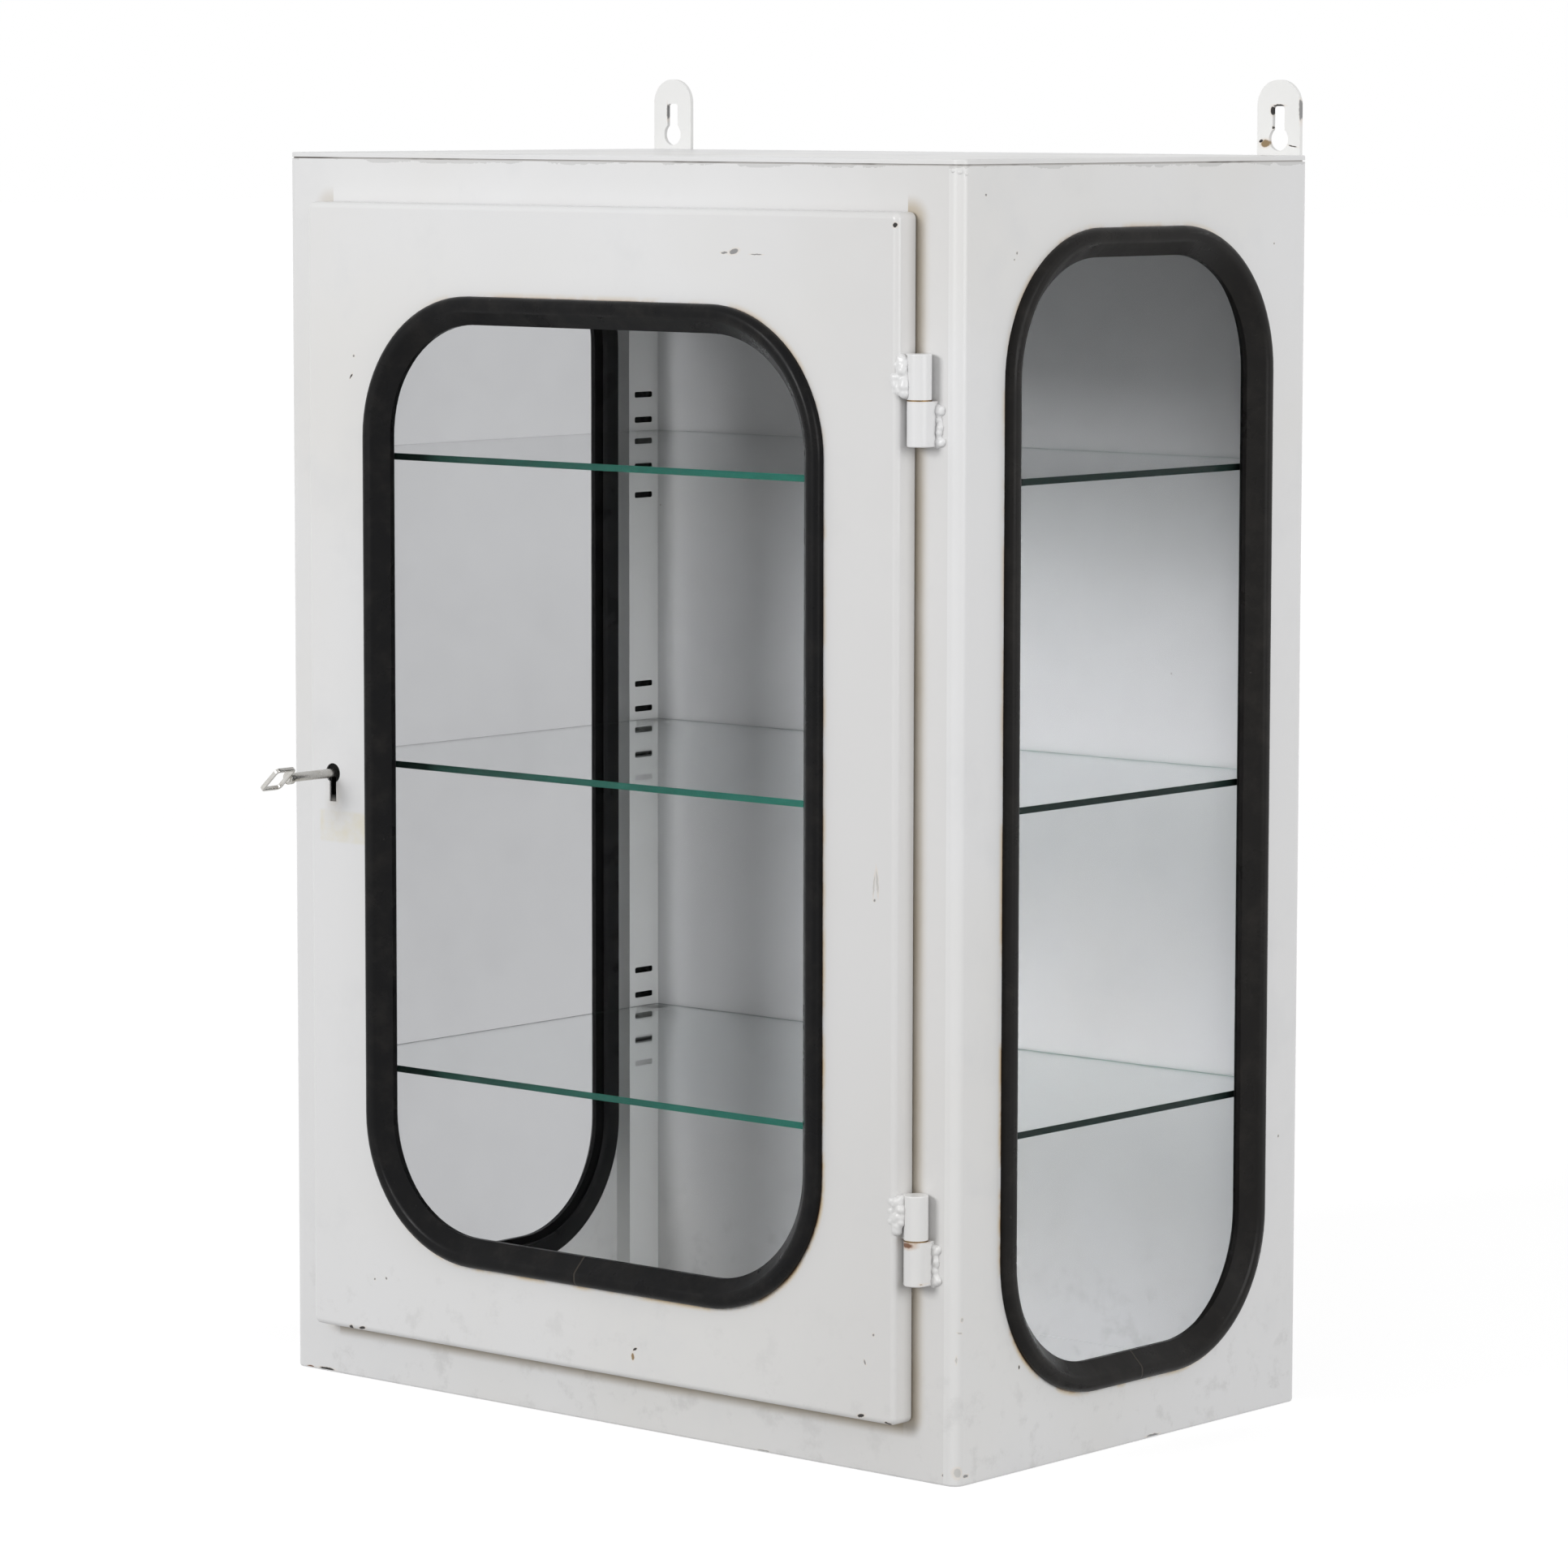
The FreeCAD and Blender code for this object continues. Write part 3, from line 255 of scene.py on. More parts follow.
HINGE_MARKS = [
    (235.6, 115.6, 1.4, 0.8, 0.0, RUST),
    (246.8, 116.4, 1.0, 0.8, 0.0, OCHRE),
]


def paint_marks(tree, colour, axis, face, marks):
    """Lays chips and scratches on a face that stands across an axis, each in its own colour."""
    warped = tree.warped(RAGGED, 1.3)
    normal = [0.0, 0.0, 0.0]
    normal[axis] = 1.0
    spots = {}
    for along, up, length, height, tilt, shade in marks:
        centre = (along, face, up) if axis == Y else (face, along, up)
        reach = (length, MARK_DEPTH, height) if axis == Y else (MARK_DEPTH, length, height)
        step = tree.vector("SUBTRACT", warped, metres(centre))
        if tilt:
            turned = tree.add("ShaderNodeVectorRotate", Vector=step, Axis=normal, Angle=math.radians(tilt))
            step = turned.outputs[0]
        spots.setdefault(shade, []).append(tree.reached(step, reach))
    worn = []
    for shade, distances in spots.items():
        rims = [tree.ramp(far, 1.0, 1.7, 0.30, 0.0) for far in distances]
        colour = tree.mix(tree.most(rims), colour, PRIMER)
        cores = tree.most([tree.ramp(far, 0.75, 1.1, 1.0, 0.0) for far in distances])
        colour = tree.mix(cores, colour, shade)
        worn.append(cores)
    return colour, tree.most(worn)


# enamel

ENAMEL = (0.80, 0.80, 0.803, 1.0)
ENAMEL_WARM = (0.765, 0.752, 0.722, 1.0)
ENAMEL_GREY = (0.715, 0.720, 0.728, 1.0)
LOW_GREY = (0.56, 0.555, 0.55, 1.0)
ENAMEL_WHITER_AND_LIT = (0.90, 0.90, 0.885, 1.0)
HINGE_SIDE_GREY = (0.69, 0.68, 0.67, 1.0)
# brown dirt and painted shadow beside the door
DIRT_AND_SHADOW = (0.42, 0.33, 0.20, 1.0)
HOLLOW_SHADE = (0.010, 0.010, 0.010, 1.0)
GROOVE = (0.11, 0.095, 0.08, 1.0)
GROOVE_DUST_AND_SHADE = (0.45, 0.43, 0.41, 1.0)
RESIDUE = (0.74, 0.69, 0.53, 1.0)
SPECK = (0.34, 0.30, 0.26, 1.0)
WATER_LINE = (0.68, 0.49, 0.23, 1.0)
GREASE = (0.50, 0.40, 0.28, 1.0)
HINGE_BROWN = (0.50, 0.30, 0.16, 1.0)
WINDOW_CORNER = 86.0
DOOR_CORNER = 4.0
RAIL_SHEET = 0.6


def old_paint(tree, grime):
    """White stove enamel gone uneven: warm and grey clouds, grey patches that get darker towards the bottom,
    and a few specks.
    """
    colour = tree.mix(tree.ramp(tree.noise(3.2, 3.0), 0.44, 0.68, 0.0, 0.50), ENAMEL, ENAMEL_WARM)
    colour = tree.mix(tree.ramp(tree.noise(14.0, 5.0, 0.6), 0.52, 0.74, 0.0, grime), colour, ENAMEL_GREY)
    low = tree.ramp(tree.axes[Z], 0.0, 130.0 * MM, 0.40, 0.0)
    colour = tree.mix(tree.times(low, tree.ramp(tree.noise(60.0, 5.0, 0.65), 0.52, 0.70)), colour, LOW_GREY)
    cells = tree.add("ShaderNodeTexVoronoi", {"feature": "F1"}, Vector=tree.place, Scale=48.0, Randomness=1.0)
    draw = tree.add("ShaderNodeSeparateColor", Color=cells.outputs["Color"])
    dot = tree.math("LESS_THAN", cells.outputs["Distance"], tree.math("MULTIPLY", draw.outputs[1], 0.055))
    speck = tree.times(tree.ramp(draw.outputs[0], 0.93, 0.94), dot, 0.55)
    return tree.mix(speck, colour, SPECK)


def seal_rust(tree, colour, axis, seal):
    """A thin yellow and brown line where water has stood at a window seal."""
    gap = tree.outside(axis, [span(seal, along) for along in AXES], WINDOW_CORNER)
    patchy = tree.ramp(tree.noise(22.0, 5.0, 0.65), 0.40, 0.60)
    low = tree.ramp(tree.axes[Z], 0.10, 0.60, 1.0, 0.40)
    close = tree.times(tree.ramp(gap, 0.0, 3.8 * MM, 0.85, 0.0), patchy, low)
    colour = tree.mix(close, colour, WATER_LINE)
    tight = tree.times(tree.ramp(gap, 0.0, 0.9 * MM, 0.90, 0.0), patchy, low)
    return tree.mix(tight, colour, RUST)


def door_dirt_and_shadow(most):
    """Brown dirt and painted shadow on the frame beside the door's edge, up to a given amount: the warm band
    deepens and widens the door's cast shadow.
    """
    def shade(tree, colour):
        gap = tree.outside(X, [span("door_panel", along) for along in AXES], DOOR_CORNER)
        amount = tree.ramp(tree.noise(18.0, 4.0), 0.25, 0.75, 0.75 * most, most)
        return tree.mix(tree.times(tree.ramp(gap, 0.5 * MM, 11.0 * MM, 1.0, 0.0), amount), colour, DIRT_AND_SHADOW)
    return shade


def greyer_towards_hinges(tree, colour):
    """A grey cast over the paint that deepens towards the hinges."""
    return tree.mix(tree.ramp(tree.axes[X], 60.0 * MM, 240.0 * MM, 0.0, 0.5), colour, HINGE_SIDE_GREY)


def tape_residue(tree, colour):
    """What a strip of tape left on the door below the key."""
    box = ((KEY_X - 12.0, DOOR_FACE - 1.0, KEY_Z - 43.0), (KEY_X + 27.5, DOOR_FACE + 1.0, KEY_Z - 24.0))
    faded = tree.ramp(tree.noise(60.0, 4.0), 0.34, 0.64, 0.12, 0.62)
    return tree.mix(tree.times(tree.within(box, 1.2), faded), colour, RESIDUE)


def key_smear(tree, colour):
    """A brown, greasy smear below the keyhole."""
    box = ((KEY_X - 5.0, DOOR_FACE - 1.0, KEY_Z - 30.0), (KEY_X + 6.0, DOOR_FACE + 1.0, KEY_Z - 6.0))
    patchy = tree.ramp(tree.noise(75.0, 4.0), 0.35, 0.65, 0.05, 0.40)
    return tree.mix(tree.times(tree.within(box, 5.0), patchy), colour, GREASE)


def whiter_and_lit_paint(tree, colour):
    """Whiter paint: on the slotted rails it is painted light, for the fill light that hardly reaches them
    inside; on the straps it whitens them.
    """
    return tree.mix(0.85, colour, ENAMEL_WHITER_AND_LIT)


def enamel(name, details=(), marks=(), axis=Y, face=0.0, grime=0.40):
    """Painted sheet: old paint, the details that a piece has, and its chips."""
    tree = Tree(name)
    colour = old_paint(tree, grime)
    for detail in details:
        colour = detail(tree, colour)
    rough = tree.ramp(tree.noise(14.0, 5.0, 0.6), 0.3, 0.7, 0.28, 0.44)
    peel = tree.bump(tree.noise(260.0, 2.0), 0.02, 0.6)
    normal = tree.bump(tree.noise(7.0, 2.0), 0.9, 0.5, peel)
    if marks:
        colour, worn = paint_marks(tree, colour, axis, face, marks)
        rough = tree.math("MAXIMUM", rough, tree.math("MULTIPLY", worn, 0.8))
        normal = tree.bump(tree.math("SUBTRACT", 1.0, worn), 0.15, 0.8, normal)
    return tree.finish(tree.add("ShaderNodeBsdfPrincipled", IOR=1.5, Coat_Weight=0.15, Coat_Roughness=0.12,
                                Base_Color=colour, Roughness=rough, Normal=normal))


def rail_hollow(side, place):
    """The dark space behind a slotted rail, as a box."""
    rail = f"{place}_{side}_slotted_rail"
    low = [span(rail, axis)[0] + RAIL_SHEET for axis in AXES]
    high = [span(rail, axis)[1] - RAIL_SHEET for axis in AXES]
    if side == "left":
        low[X] -= 2 * RAIL_SHEET
    else:
        high[X] += 2 * RAIL_SHEET
    if place == "rear":
        high[Y] = span(f"{side}_side_panel", Y)[1] - RAIL_SHEET
    return low, high


def hollows(side, outward=None):
    """Shades the paint behind a side's two rails, where no light gets in, but no face that looks outward."""
    def shade(tree, colour):
        mask = tree.most([tree.within(rail_hollow(side, place), 0.1) for place in ("front", "rear")])
        if outward:
            turn = tree.vector("DOT_PRODUCT", tree.add("ShaderNodeNewGeometry").outputs["Normal"], outward)
            mask = tree.times(mask, tree.math("LESS_THAN", turn, 0.0))
        return tree.mix(mask, colour, HOLLOW_SHADE)
    return shade


def top_groove(tree, colour):
    """Dust and painted shade all along the groove below the top's rim, and dirt near its left end and in
    patches.
    """
    depth = tree.ramp(tree.axes[Z], (WALL_TOP + 0.85) * MM, (WALL_TOP + 1.05) * MM, 1.0, 0.0)
    # a grey darkening all along the groove: dust, and painted shade in the recess
    colour = tree.mix(tree.times(depth, 0.8), colour, GROOVE_DUST_AND_SHADE)
    left = tree.ramp(tree.axes[X], -240.0 * MM, -215.0 * MM, 0.9, 0.0)
    patchy = tree.ramp(tree.noise(11.0, 4.0, 0.6), 0.56, 0.66, 0.0, 0.7)
    return tree.mix(tree.times(depth, tree.most([left, patchy])), colour, GROOVE)


def top_edge(tree, colour):
    """A ragged dark line where the wall's top edge has lost its paint."""
    ragged = tree.ramp(tree.noise(34.0, 5.0, 0.7), 0.42, 0.62, 0.2, 2.2)
    line = tree.math("MULTIPLY", ragged, MM)
    drop = tree.math("SUBTRACT", WALL_TOP * MM, tree.axes[Z])
    return tree.mix(tree.times(tree.math("LESS_THAN", drop, line), 0.20), colour, GROOVE)


def side_rust(side):
    """Rust at a side window's seal."""
    def shade(tree, colour):
        return seal_rust(tree, colour, Y, f"{side}_window_seal")
    return shade


def door_rust(tree, colour):
    """Rust at the door window's seal."""
    return seal_rust(tree, colour, X, "door_window_seal")


def hinge_stain(tree, colour):
    """Brown stain at the hinges' splits, and a rust spot at the left of the lower one."""
    stains = []
    for place, most in (("lower", 0.6), ("upper", 0.15)):
        split = span(f"{place}_hinge_washer", Z)[0]
        stains.append(tree.ramp(tree.middle_off(Z, split, split), 0.2 * MM, 1.5 * MM, most, 0.0))
    patchy = tree.ramp(tree.noise(120.0, 4.0, 0.65), 0.40, 0.60)
    colour = tree.mix(tree.times(tree.most(stains), patchy), colour, HINGE_BROWN)
    spot = (HINGE_X - 1.0, HINGE_Y - 6.9, span("lower_hinge_washer", Z)[0] - 1.8)
    step = tree.vector("SUBTRACT", tree.warped(RAGGED, 1.8), metres(spot))
    far = tree.reached(step, (4.4, MARK_DEPTH, 1.7))
    colour = tree.mix(tree.ramp(far, 0.9, 2.0, 0.5, 0.0), colour, HINGE_BROWN)
    return tree.mix(tree.ramp(far, 0.6, 1.1, 1.0, 0.0), colour, RUST)


# rubber, glass and bare metals

SPLICE_TOP = 150.0
RUBBER = (0.006, 0.006, 0.0065, 1.0)
RUBBER_DUST = (0.032, 0.029, 0.026, 1.0)
RUBBER_SCUFF = (0.11, 0.105, 0.10, 1.0)
RUBBER_JOINT = (0.10, 0.085, 0.07, 1.0)


def rubber(name, axis, splice, dusty):
    """Black window rubber: shiny, dusty in patches, with a joint where its ends meet."""
    tree = Tree(name)
    dust = tree.ramp(tree.noise(55.0, 6.0, 0.65), 0.42, 0.80, dusty, dusty + 0.40)
    colour = tree.mix(dust, RUBBER, RUBBER_DUST)
    scuffs = tree.ramp(tree.noise(210.0, 4.0, 0.7), 0.68, 0.76, 0.0, 0.25)
    colour = tree.mix(scuffs, colour, RUBBER_SCUFF)
    wobble = tree.math("MULTIPLY", tree.math("SUBTRACT", tree.noise(120.0, 3.0), 0.5), 2.0 * MM)
    along = tree.math("ADD", tree.math("SUBTRACT", tree.axes[axis], splice * MM), wobble)
    low = tree.math("LESS_THAN", tree.axes[Z], SPLICE_TOP * MM)
    seam = tree.times(tree.ramp(tree.math("ABSOLUTE", along), 0.35 * MM, 0.8 * MM, 1.0, 0.0), low)
    colour = tree.mix(tree.times(seam, 0.45), colour, RUBBER_JOINT)
    rough = tree.ramp(tree.noise(38.0, 5.0), 0.3, 0.7, 0.24, 0.42)
    grain = tree.bump(tree.noise(600.0, 3.0), 0.05, 0.5)
    uneven = tree.bump(tree.noise(45.0, 3.0), 0.4, 0.5, grain)
    normal = tree.bump(tree.math("SUBTRACT", 1.0, seam), 0.4, 0.8, uneven)
    return tree.finish(tree.add("ShaderNodeBsdfPrincipled", IOR=1.5, Specular_IOR_Level=0.10,
                                Base_Color=colour, Roughness=rough, Normal=normal))


WIPED = 0.955


def glass(name, tint, lamp_tint, bend, gleam, edges=None):
    """Clear glass that lets lamplight through: wiped unevenly, or else with dark green cut edges that carry
    painted light and shade.
    """
    tree = Tree(name)
    shader = tree.add("ShaderNodeBsdfPrincipled", IOR=bend, Roughness=0.0, Transmission_Weight=1.0,
                      Specular_Tint=(gleam, gleam, gleam, 1.0))
    if edges:
        left, right, side = edges
        facing = tree.add("ShaderNodeSeparateXYZ", Vector=tree.add("ShaderNodeNewGeometry").outputs["Normal"])
        flat = tree.math("GREATER_THAN", tree.math("ABSOLUTE", facing.outputs[Z]), 0.5)
        across = tree.math("GREATER_THAN", tree.math("ABSOLUTE", facing.outputs[X]), 0.5)
        # painted light and shade on the edges: the front edge lighter towards the right, the side edges
        # darker
        front = tree.mix(tree.ramp(tree.axes[X], -220.0 * MM, 180.0 * MM), left, right)
        tree.put(shader.inputs["Base Color"], tree.mix(flat, tree.mix(across, front, side), tint))
        tree.put(shader.inputs["Transmission Weight"], flat)
    else:
        smears = tree.ramp(tree.noise(5.0, 5.0, 0.7), 0.4, 0.7)
        wiped = [share * WIPED for share in tint[:3]] + [1.0]
        tree.put(shader.inputs["Base Color"], tree.mix(smears, tint, wiped))
    clear = tree.add("ShaderNodeBsdfTransparent", Color=lamp_tint)
    both = tree.add("ShaderNodeMixShader")
    tree.put(both.inputs[0], tree.add("ShaderNodeLightPath").outputs["Is Shadow Ray"])
    tree.put(both.inputs[1], shader.outputs[0])
    tree.put(both.inputs[2], clear.outputs[0])
    return tree.finish(both)


def metal(name, colour, dull, low, high, wear=0.5, hole_shade_at=None):
    """Bare or plated metal with worn, duller patches, and black painted shade round a place, where a hole
    lets no light in.
    """
    tree = Tree(name)
    patch = tree.ramp(tree.noise(160.0, 5.0, 0.65), 0.42, 0.68, 0.0, wear)
    shade = tree.mix(patch, colour, dull)
    if hole_shade_at:
        # painted shade: black round the hole, where no light gets in
        far = tree.vector("LENGTH", tree.vector("SUBTRACT", tree.place, metres(hole_shade_at)))
        shade = tree.mix(tree.ramp(far, 14.0 * MM, 24.0 * MM, 1.0, 0.0), shade, HOLLOW_SHADE)
    rough = tree.ramp(tree.noise(240.0, 4.0), 0.3, 0.7, low, high)
    normal = tree.bump(tree.noise(900.0, 3.0), 0.02, 0.5)
    return tree.finish(tree.add("ShaderNodeBsdfPrincipled", Metallic=1.0, Base_Color=shade, Roughness=rough,
                                Normal=normal))


SHELF_TINT = (0.95, 0.97, 0.965, 1.0)
SHELF_IOR = 1.5
SHELF_GLEAM = 0.15
# the shelves' cut edges, dark green glass with painted light and shade: the front one at its left and right
# ends, lighter towards the right, and the side ones, darker
SHELF_EDGES = ((0.020, 0.045, 0.036, 1.0), (0.030, 0.19, 0.14, 1.0), (0.005, 0.018, 0.014, 1.0))
FINISHES = {
    "shelf_glass": glass("shelf_glass", SHELF_TINT, SHELF_TINT, SHELF_IOR, SHELF_GLEAM, SHELF_EDGES),
    "zinc_steel": metal("zinc_plate", (0.56, 0.56, 0.54, 1.0), (0.36, 0.34, 0.30, 1.0), 0.28, 0.48),
    "brass": metal("dull_brass", (0.20, 0.13, 0.06, 1.0), (0.08, 0.055, 0.03, 1.0), 0.40, 0.60),
    "nickel_key": metal("worn_nickel", (0.58, 0.57, 0.545, 1.0), (0.34, 0.31, 0.27, 1.0), 0.20, 0.30, 0.3),
    # the lock steel, with black painted shade round the keyhole
    "plain_steel": metal("lock_steel", (0.42, 0.41, 0.39, 1.0), (0.20, 0.17, 0.14, 1.0), 0.30, 0.52,
                         hole_shade_at=KEYHOLE),
}
# each pane's tint, one glass in three shades as painted light and shade: the left one, seen against the white
# background, darker, and the others, seen against the inside, lighter so that more light gets in
PANES = {
    "door_window_pane": (0.785, 0.788, 0.797, 1.0),
    "right_window_pane": (0.745, 0.748, 0.757, 1.0),
    "left_window_pane": (0.622, 0.625, 0.632, 1.0),
}
PANE_LAMP_TINT = (0.95, 0.954, 0.958, 1.0)
# low, so that the panes don't mirror the white background
PANE_IOR = 1.1
PANE_GLEAM = 0.05
# the axis along the lower run, the joint's place on it, and the dust that lies all over
SEALS = {
    "door_window_seal": (X, -9.0, 0.0),
    "right_window_seal": (Y, 2.0, 0.30),
    "left_window_seal": (Y, -4.0, 0.0),
}
# the directions, left and right, in which the side panels' outer faces and rear bends look
OUT_LEFT = (-1.0, 1.0, 0.0)
OUT_RIGHT = (1.0, 1.0, 0.0)
# details, marks, the axis that the marked face stands across, and the face's place
PAINTED = {
    "door_panel": ((greyer_towards_hinges, door_rust, tape_residue, key_smear), DOOR_MARKS, Y, DOOR_FACE),
    "left_side_panel": ((side_rust("left"), hollows("left", OUT_LEFT), top_edge),),
    "right_side_panel": ((side_rust("right"), hollows("right", OUT_RIGHT), top_edge), SIDE_MARKS, X,
                         SIDE_FACE),
    # beside the door: brown dirt and painted shadow, most below the door and on its right, where its shadow
    # falls
    "left_front_stile": ((door_dirt_and_shadow(0.35),), FRONT_MARKS, Y, FRONT),
    "right_front_stile": ((greyer_towards_hinges, door_dirt_and_shadow(0.75)), FRONT_MARKS, Y, FRONT),
    "front_top_rail": ((greyer_towards_hinges, top_edge),),
    "front_bottom_rail": ((greyer_towards_hinges, door_dirt_and_shadow(1.0)), FRONT_MARKS, Y, FRONT),
    "top_panel": ((top_groove,),),
    "left_hanging_strap": ((whiter_and_lit_paint,), STRAP_MARKS, Y, STRAP_FACE),
    "right_hanging_strap": ((whiter_and_lit_paint,), STRAP_MARKS, Y, STRAP_FACE),
    # the rails: whiter paint as painted light, for the light that hardly reaches them inside
    "front_left_slotted_rail": ((whiter_and_lit_paint, hollows("left")),),
    "rear_left_slotted_rail": ((whiter_and_lit_paint, hollows("left")),),
    "front_right_slotted_rail": ((whiter_and_lit_paint, hollows("right")),),
    "rear_right_slotted_rail": ((whiter_and_lit_paint, hollows("right")),),
    "lower_hinge_frame_half": ((hinge_stain,), HINGE_MARKS, Y, HINGE_Y),
    "lower_hinge_door_half": ((hinge_stain,), HINGE_MARKS, Y, HINGE_Y),
    "upper_hinge_frame_half": ((hinge_stain,),),
    "upper_hinge_door_half": ((hinge_stain,),),
}
PLAIN_ENAMEL = enamel("enamel_plain")


def dress(name, slot, item):
    """Gives a CAD node its material."""
    if slot == "black_rubber":
        material = rubber(f"rubber_{name}", *SEALS[name])
    elif slot == "window_glass":
        material = glass(f"glass_{name}", PANES[name], PANE_LAMP_TINT, PANE_IOR, PANE_GLEAM)
    elif name in PAINTED:
        material = enamel(f"enamel_{name}", *PAINTED[name])
    else:
        material = FINISHES.get(slot, PLAIN_ENAMEL)
    item.data.materials.clear()
    item.data.materials.append(material)


for entry in frame["record"]["subparts"]:
    dress(entry["node"], entry["material_slot"], NODES[entry["node"]])


# weld beads on the hinges and at the top corner

WELD_VOXEL = 0.5
WELD_SMOOTHINGS = 10
# the welds' drops: how many, and their smallest and largest radius
DOOR_DROPS = (70, 2.2, 3.4)
FRAME_DROPS = (24, 1.5, 2.4)
# the parts of a frame weld: lowest and highest place from the hinge's split, and width
FRAME_RUNS = {"seam": (-24.0, -3.0, 2.6), "head": (-7.0, -3.5, 4.2), "foot": (-25.0, -21.5, 4.6)}


def lumps(seed, box, count, small, large):
    """Weld drops at random in a box: each one's place and radius."""
    draw = random.Random(seed)
    drops = []
    for _ in range(count):
        place = [draw.uniform(low, high) for low, high in zip(*box)]
        drops.append((*place, draw.uniform(small, large)))
    return drops


def bead(name, body, drops, material):
    """A lumpy weld: round drops run together, under the paint."""
    cloud = bmesh.new()
    for x, y, z, radius in drops:
        place = Matrix.Translation(Vector((x, y, z)) * MM)
        bmesh.ops.create_icosphere(cloud, subdivisions=3, radius=radius * MM, matrix=place)
    mesh = bpy.data.meshes.new(name)
    cloud.to_mesh(mesh)
    cloud.free()
    mesh.materials.append(material)
    piece = bpy.data.objects.new(name, mesh)
    bpy.context.collection.objects.link(piece)
    remesh = piece.modifiers.new("run_together", "REMESH")
    remesh.mode = "VOXEL"
    remesh.voxel_size = WELD_VOXEL * MM
    remesh.use_smooth_shade = True
    smooth = piece.modifiers.new("soften", "SMOOTH")
    smooth.factor = 0.5
    smooth.iterations = WELD_SMOOTHINGS
    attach(piece, body)


WELD_PAINT = enamel("enamel_weld", (hinge_stain,), HINGE_MARKS, Y, HINGE_Y, grime=0.5)
for place in ("lower", "upper"):
    split = span(f"{place}_hinge_washer", Z)[0]
    door_box = ((DOOR_RIGHT - 4.0, DOOR_FACE + 2.2, split + 4.5),
                (DOOR_RIGHT + 3.5, DOOR_FACE + 4.2, split + 24.5))
    bead(f"{place}_door_weld", "door", lumps(f"{place}_door", door_box, *DOOR_DROPS), WELD_PAINT)
    edge = HINGE_X + BARREL
    drops = []
    for part, (low, high, wide) in FRAME_RUNS.items():
        box = ((edge - 1.0, FRONT - 0.6, split + low), (edge + wide, FRONT + 0.8, split + high))
        drops += lumps(f"{place}_{part}", box, *FRAME_DROPS)
    bead(f"{place}_frame_weld", "carcass", drops, WELD_PAINT)
CORNER_DROPS = [
    (SIDE_FACE - 6.8, FRONT + 0.6, WALL_TOP - 2.6, 1.7),
    (SIDE_FACE - 3.2, FRONT + 2.0, WALL_TOP - 3.4, 1.8),
    (SIDE_FACE - 1.4, FRONT + 4.6, WALL_TOP - 4.4, 1.7),
]
bead("top_corner_weld", "carcass", CORNER_DROPS, WELD_PAINT)


# stage and light

def seen_white(tree):
    """1 for the rays that show the background, straight or by glass and gloss, and 0 for the rest."""
    def join(operation, first, second):
        node = tree.nodes.new("ShaderNodeMath")
        node.operation = operation
        for socket, value in zip(node.inputs, (first, second)):
            if isinstance(value, float):
                socket.default_value = value
            else:
                tree.links.new(value, socket)
        return node.outputs[0]

    path = tree.nodes.new("ShaderNodeLightPath").outputs
    shown = join("MAXIMUM", path["Is Camera Ray"], path["Is Glossy Ray"])
    shown = join("MAXIMUM", shown, path["Is Transmission Ray"])
    return join("MULTIPLY", shown, join("LESS_THAN", path["Diffuse Depth"], 0.5))


WHITE = (1.0, 1.0, 1.0, 1.0)
FLOOR_SIZE = 60.0
FLOOR_SHARE = 0.42
# how strongly the floor glows near the part and far from it, and the distances that this goes by
FLOOR_GLOW = (0.76, 0.84)
FLOOR_REACH = (1.0, 8.0)


def stage_white(name, share, near, far):
    """A pale floor that reads as white but keeps the shadow on it. It glows more far from the lamps."""
    tree = Tree(name)
    body = tree.add("ShaderNodeBsdfDiffuse", Color=(share, share, share, 1.0))
    light = tree.add("ShaderNodeEmission", Color=WHITE)
    glow = tree.ramp(tree.vector("LENGTH", tree.place), *FLOOR_REACH, near, far)
    tree.put(light.inputs["Strength"], tree.math("MULTIPLY", seen_white(tree.tree), glow))
    both = tree.add("ShaderNodeAddShader")
    tree.put(both.inputs[0], body.outputs[0])
    tree.put(both.inputs[1], light.outputs[0])
    return tree.finish(both)


bpy.ops.mesh.primitive_plane_add(size=FLOOR_SIZE, location=(0.0, 0.0, 0.0))
floor = bpy.context.object
floor.name = "floor"
floor.data.materials.append(stage_white("floor_white", FLOOR_SHARE, *FLOOR_GLOW))

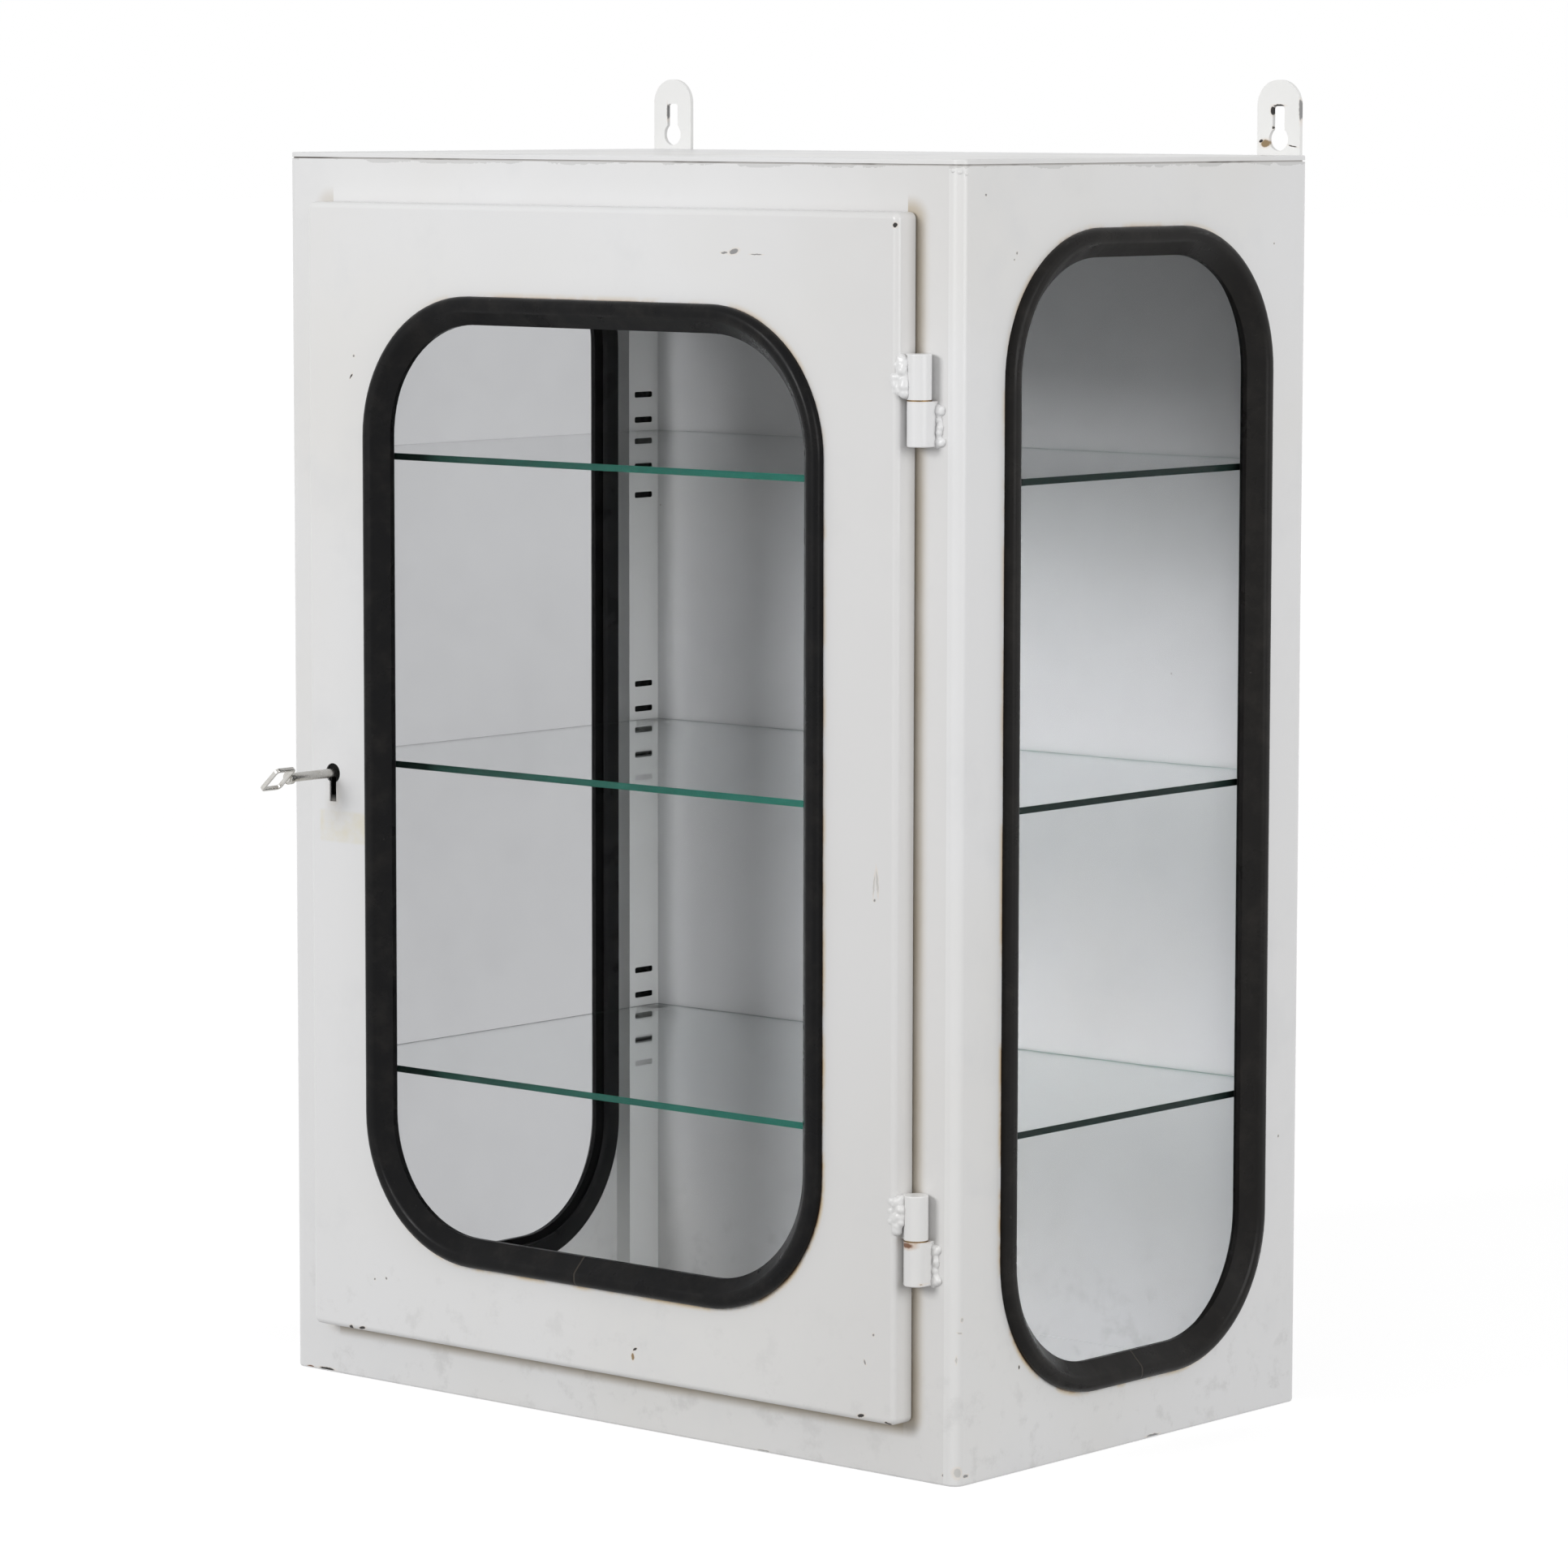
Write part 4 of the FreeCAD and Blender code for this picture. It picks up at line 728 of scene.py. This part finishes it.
AMBIENT = 0.46
world = bpy.data.worlds.new("studio")
bpy.context.scene.world = world
world.use_nodes = True
sky = world.node_tree
sky.nodes.clear()
strength = sky.nodes.new("ShaderNodeMapRange")
strength.inputs["To Min"].default_value = AMBIENT
strength.inputs["To Max"].default_value = 1.0
sky.links.new(seen_white(sky), strength.inputs["Value"])
shine = sky.nodes.new("ShaderNodeBackground")
shine.inputs["Color"].default_value = WHITE
sky.links.new(strength.outputs["Result"], shine.inputs["Strength"])
result = sky.nodes.new("ShaderNodeOutputWorld")
sky.links.new(shine.outputs[0], result.inputs["Surface"])


LAMP_AIM = Vector((0.0, 0.0, 0.4))


def lamp(name, place, size, power):
    """A soft studio lamp that looks at the cabinet's middle, and that the camera doesn't see."""
    light = bpy.data.lights.new(name, "AREA")
    light.shape = "SQUARE"
    light.size = size
    light.energy = power
    item = bpy.data.objects.new(name, light)
    bpy.context.collection.objects.link(item)
    item.location = place
    item.rotation_euler = (LAMP_AIM - Vector(place)).to_track_quat("-Z", "Y").to_euler()
    item.visible_camera = False


lamp("key_lamp", (-0.85, -3.72, 1.70), 1.4, 75.5)
lamp("fill_lamp", (3.95, -0.15, 1.45), 2.2, 66.0)


# camera: the photo's own, in degrees, metres and pixels of the photo

AZIMUTH = math.radians(40.861)
ELEVATION = math.radians(6.247)
ROLL = math.radians(-0.099)
FOCAL = 7829.95
FRAME_PIXELS = 1932.0
DISTANCE = 3.85775
TARGET_SIDE = -0.00412
TARGET_HEIGHT = 0.36917
SENSOR = 36.0

ahead = Vector((-math.sin(AZIMUTH) * math.cos(ELEVATION), math.cos(AZIMUTH) * math.cos(ELEVATION),
                -math.sin(ELEVATION)))
right = Vector((math.cos(AZIMUTH), math.sin(AZIMUTH), 0.0))
down = ahead.cross(right)
target = right * TARGET_SIDE + Vector((0.0, 0.0, TARGET_HEIGHT))
centre = target - ahead * DISTANCE
rolled_right = right * math.cos(ROLL) + down * math.sin(ROLL)
rolled_down = down * math.cos(ROLL) - right * math.sin(ROLL)
turn = Matrix((rolled_right, -rolled_down, -ahead)).transposed()
lens = bpy.data.cameras.new("camera")
lens.sensor_fit = "HORIZONTAL"
lens.sensor_width = SENSOR
lens.lens = FOCAL / FRAME_PIXELS * SENSOR
camera = bpy.data.objects.new("camera", lens)
bpy.context.collection.objects.link(camera)
camera.matrix_world = Matrix.Translation(centre) @ turn.to_4x4()
bpy.context.scene.camera = camera
bpy.context.scene.view_settings.view_transform = "Standard"
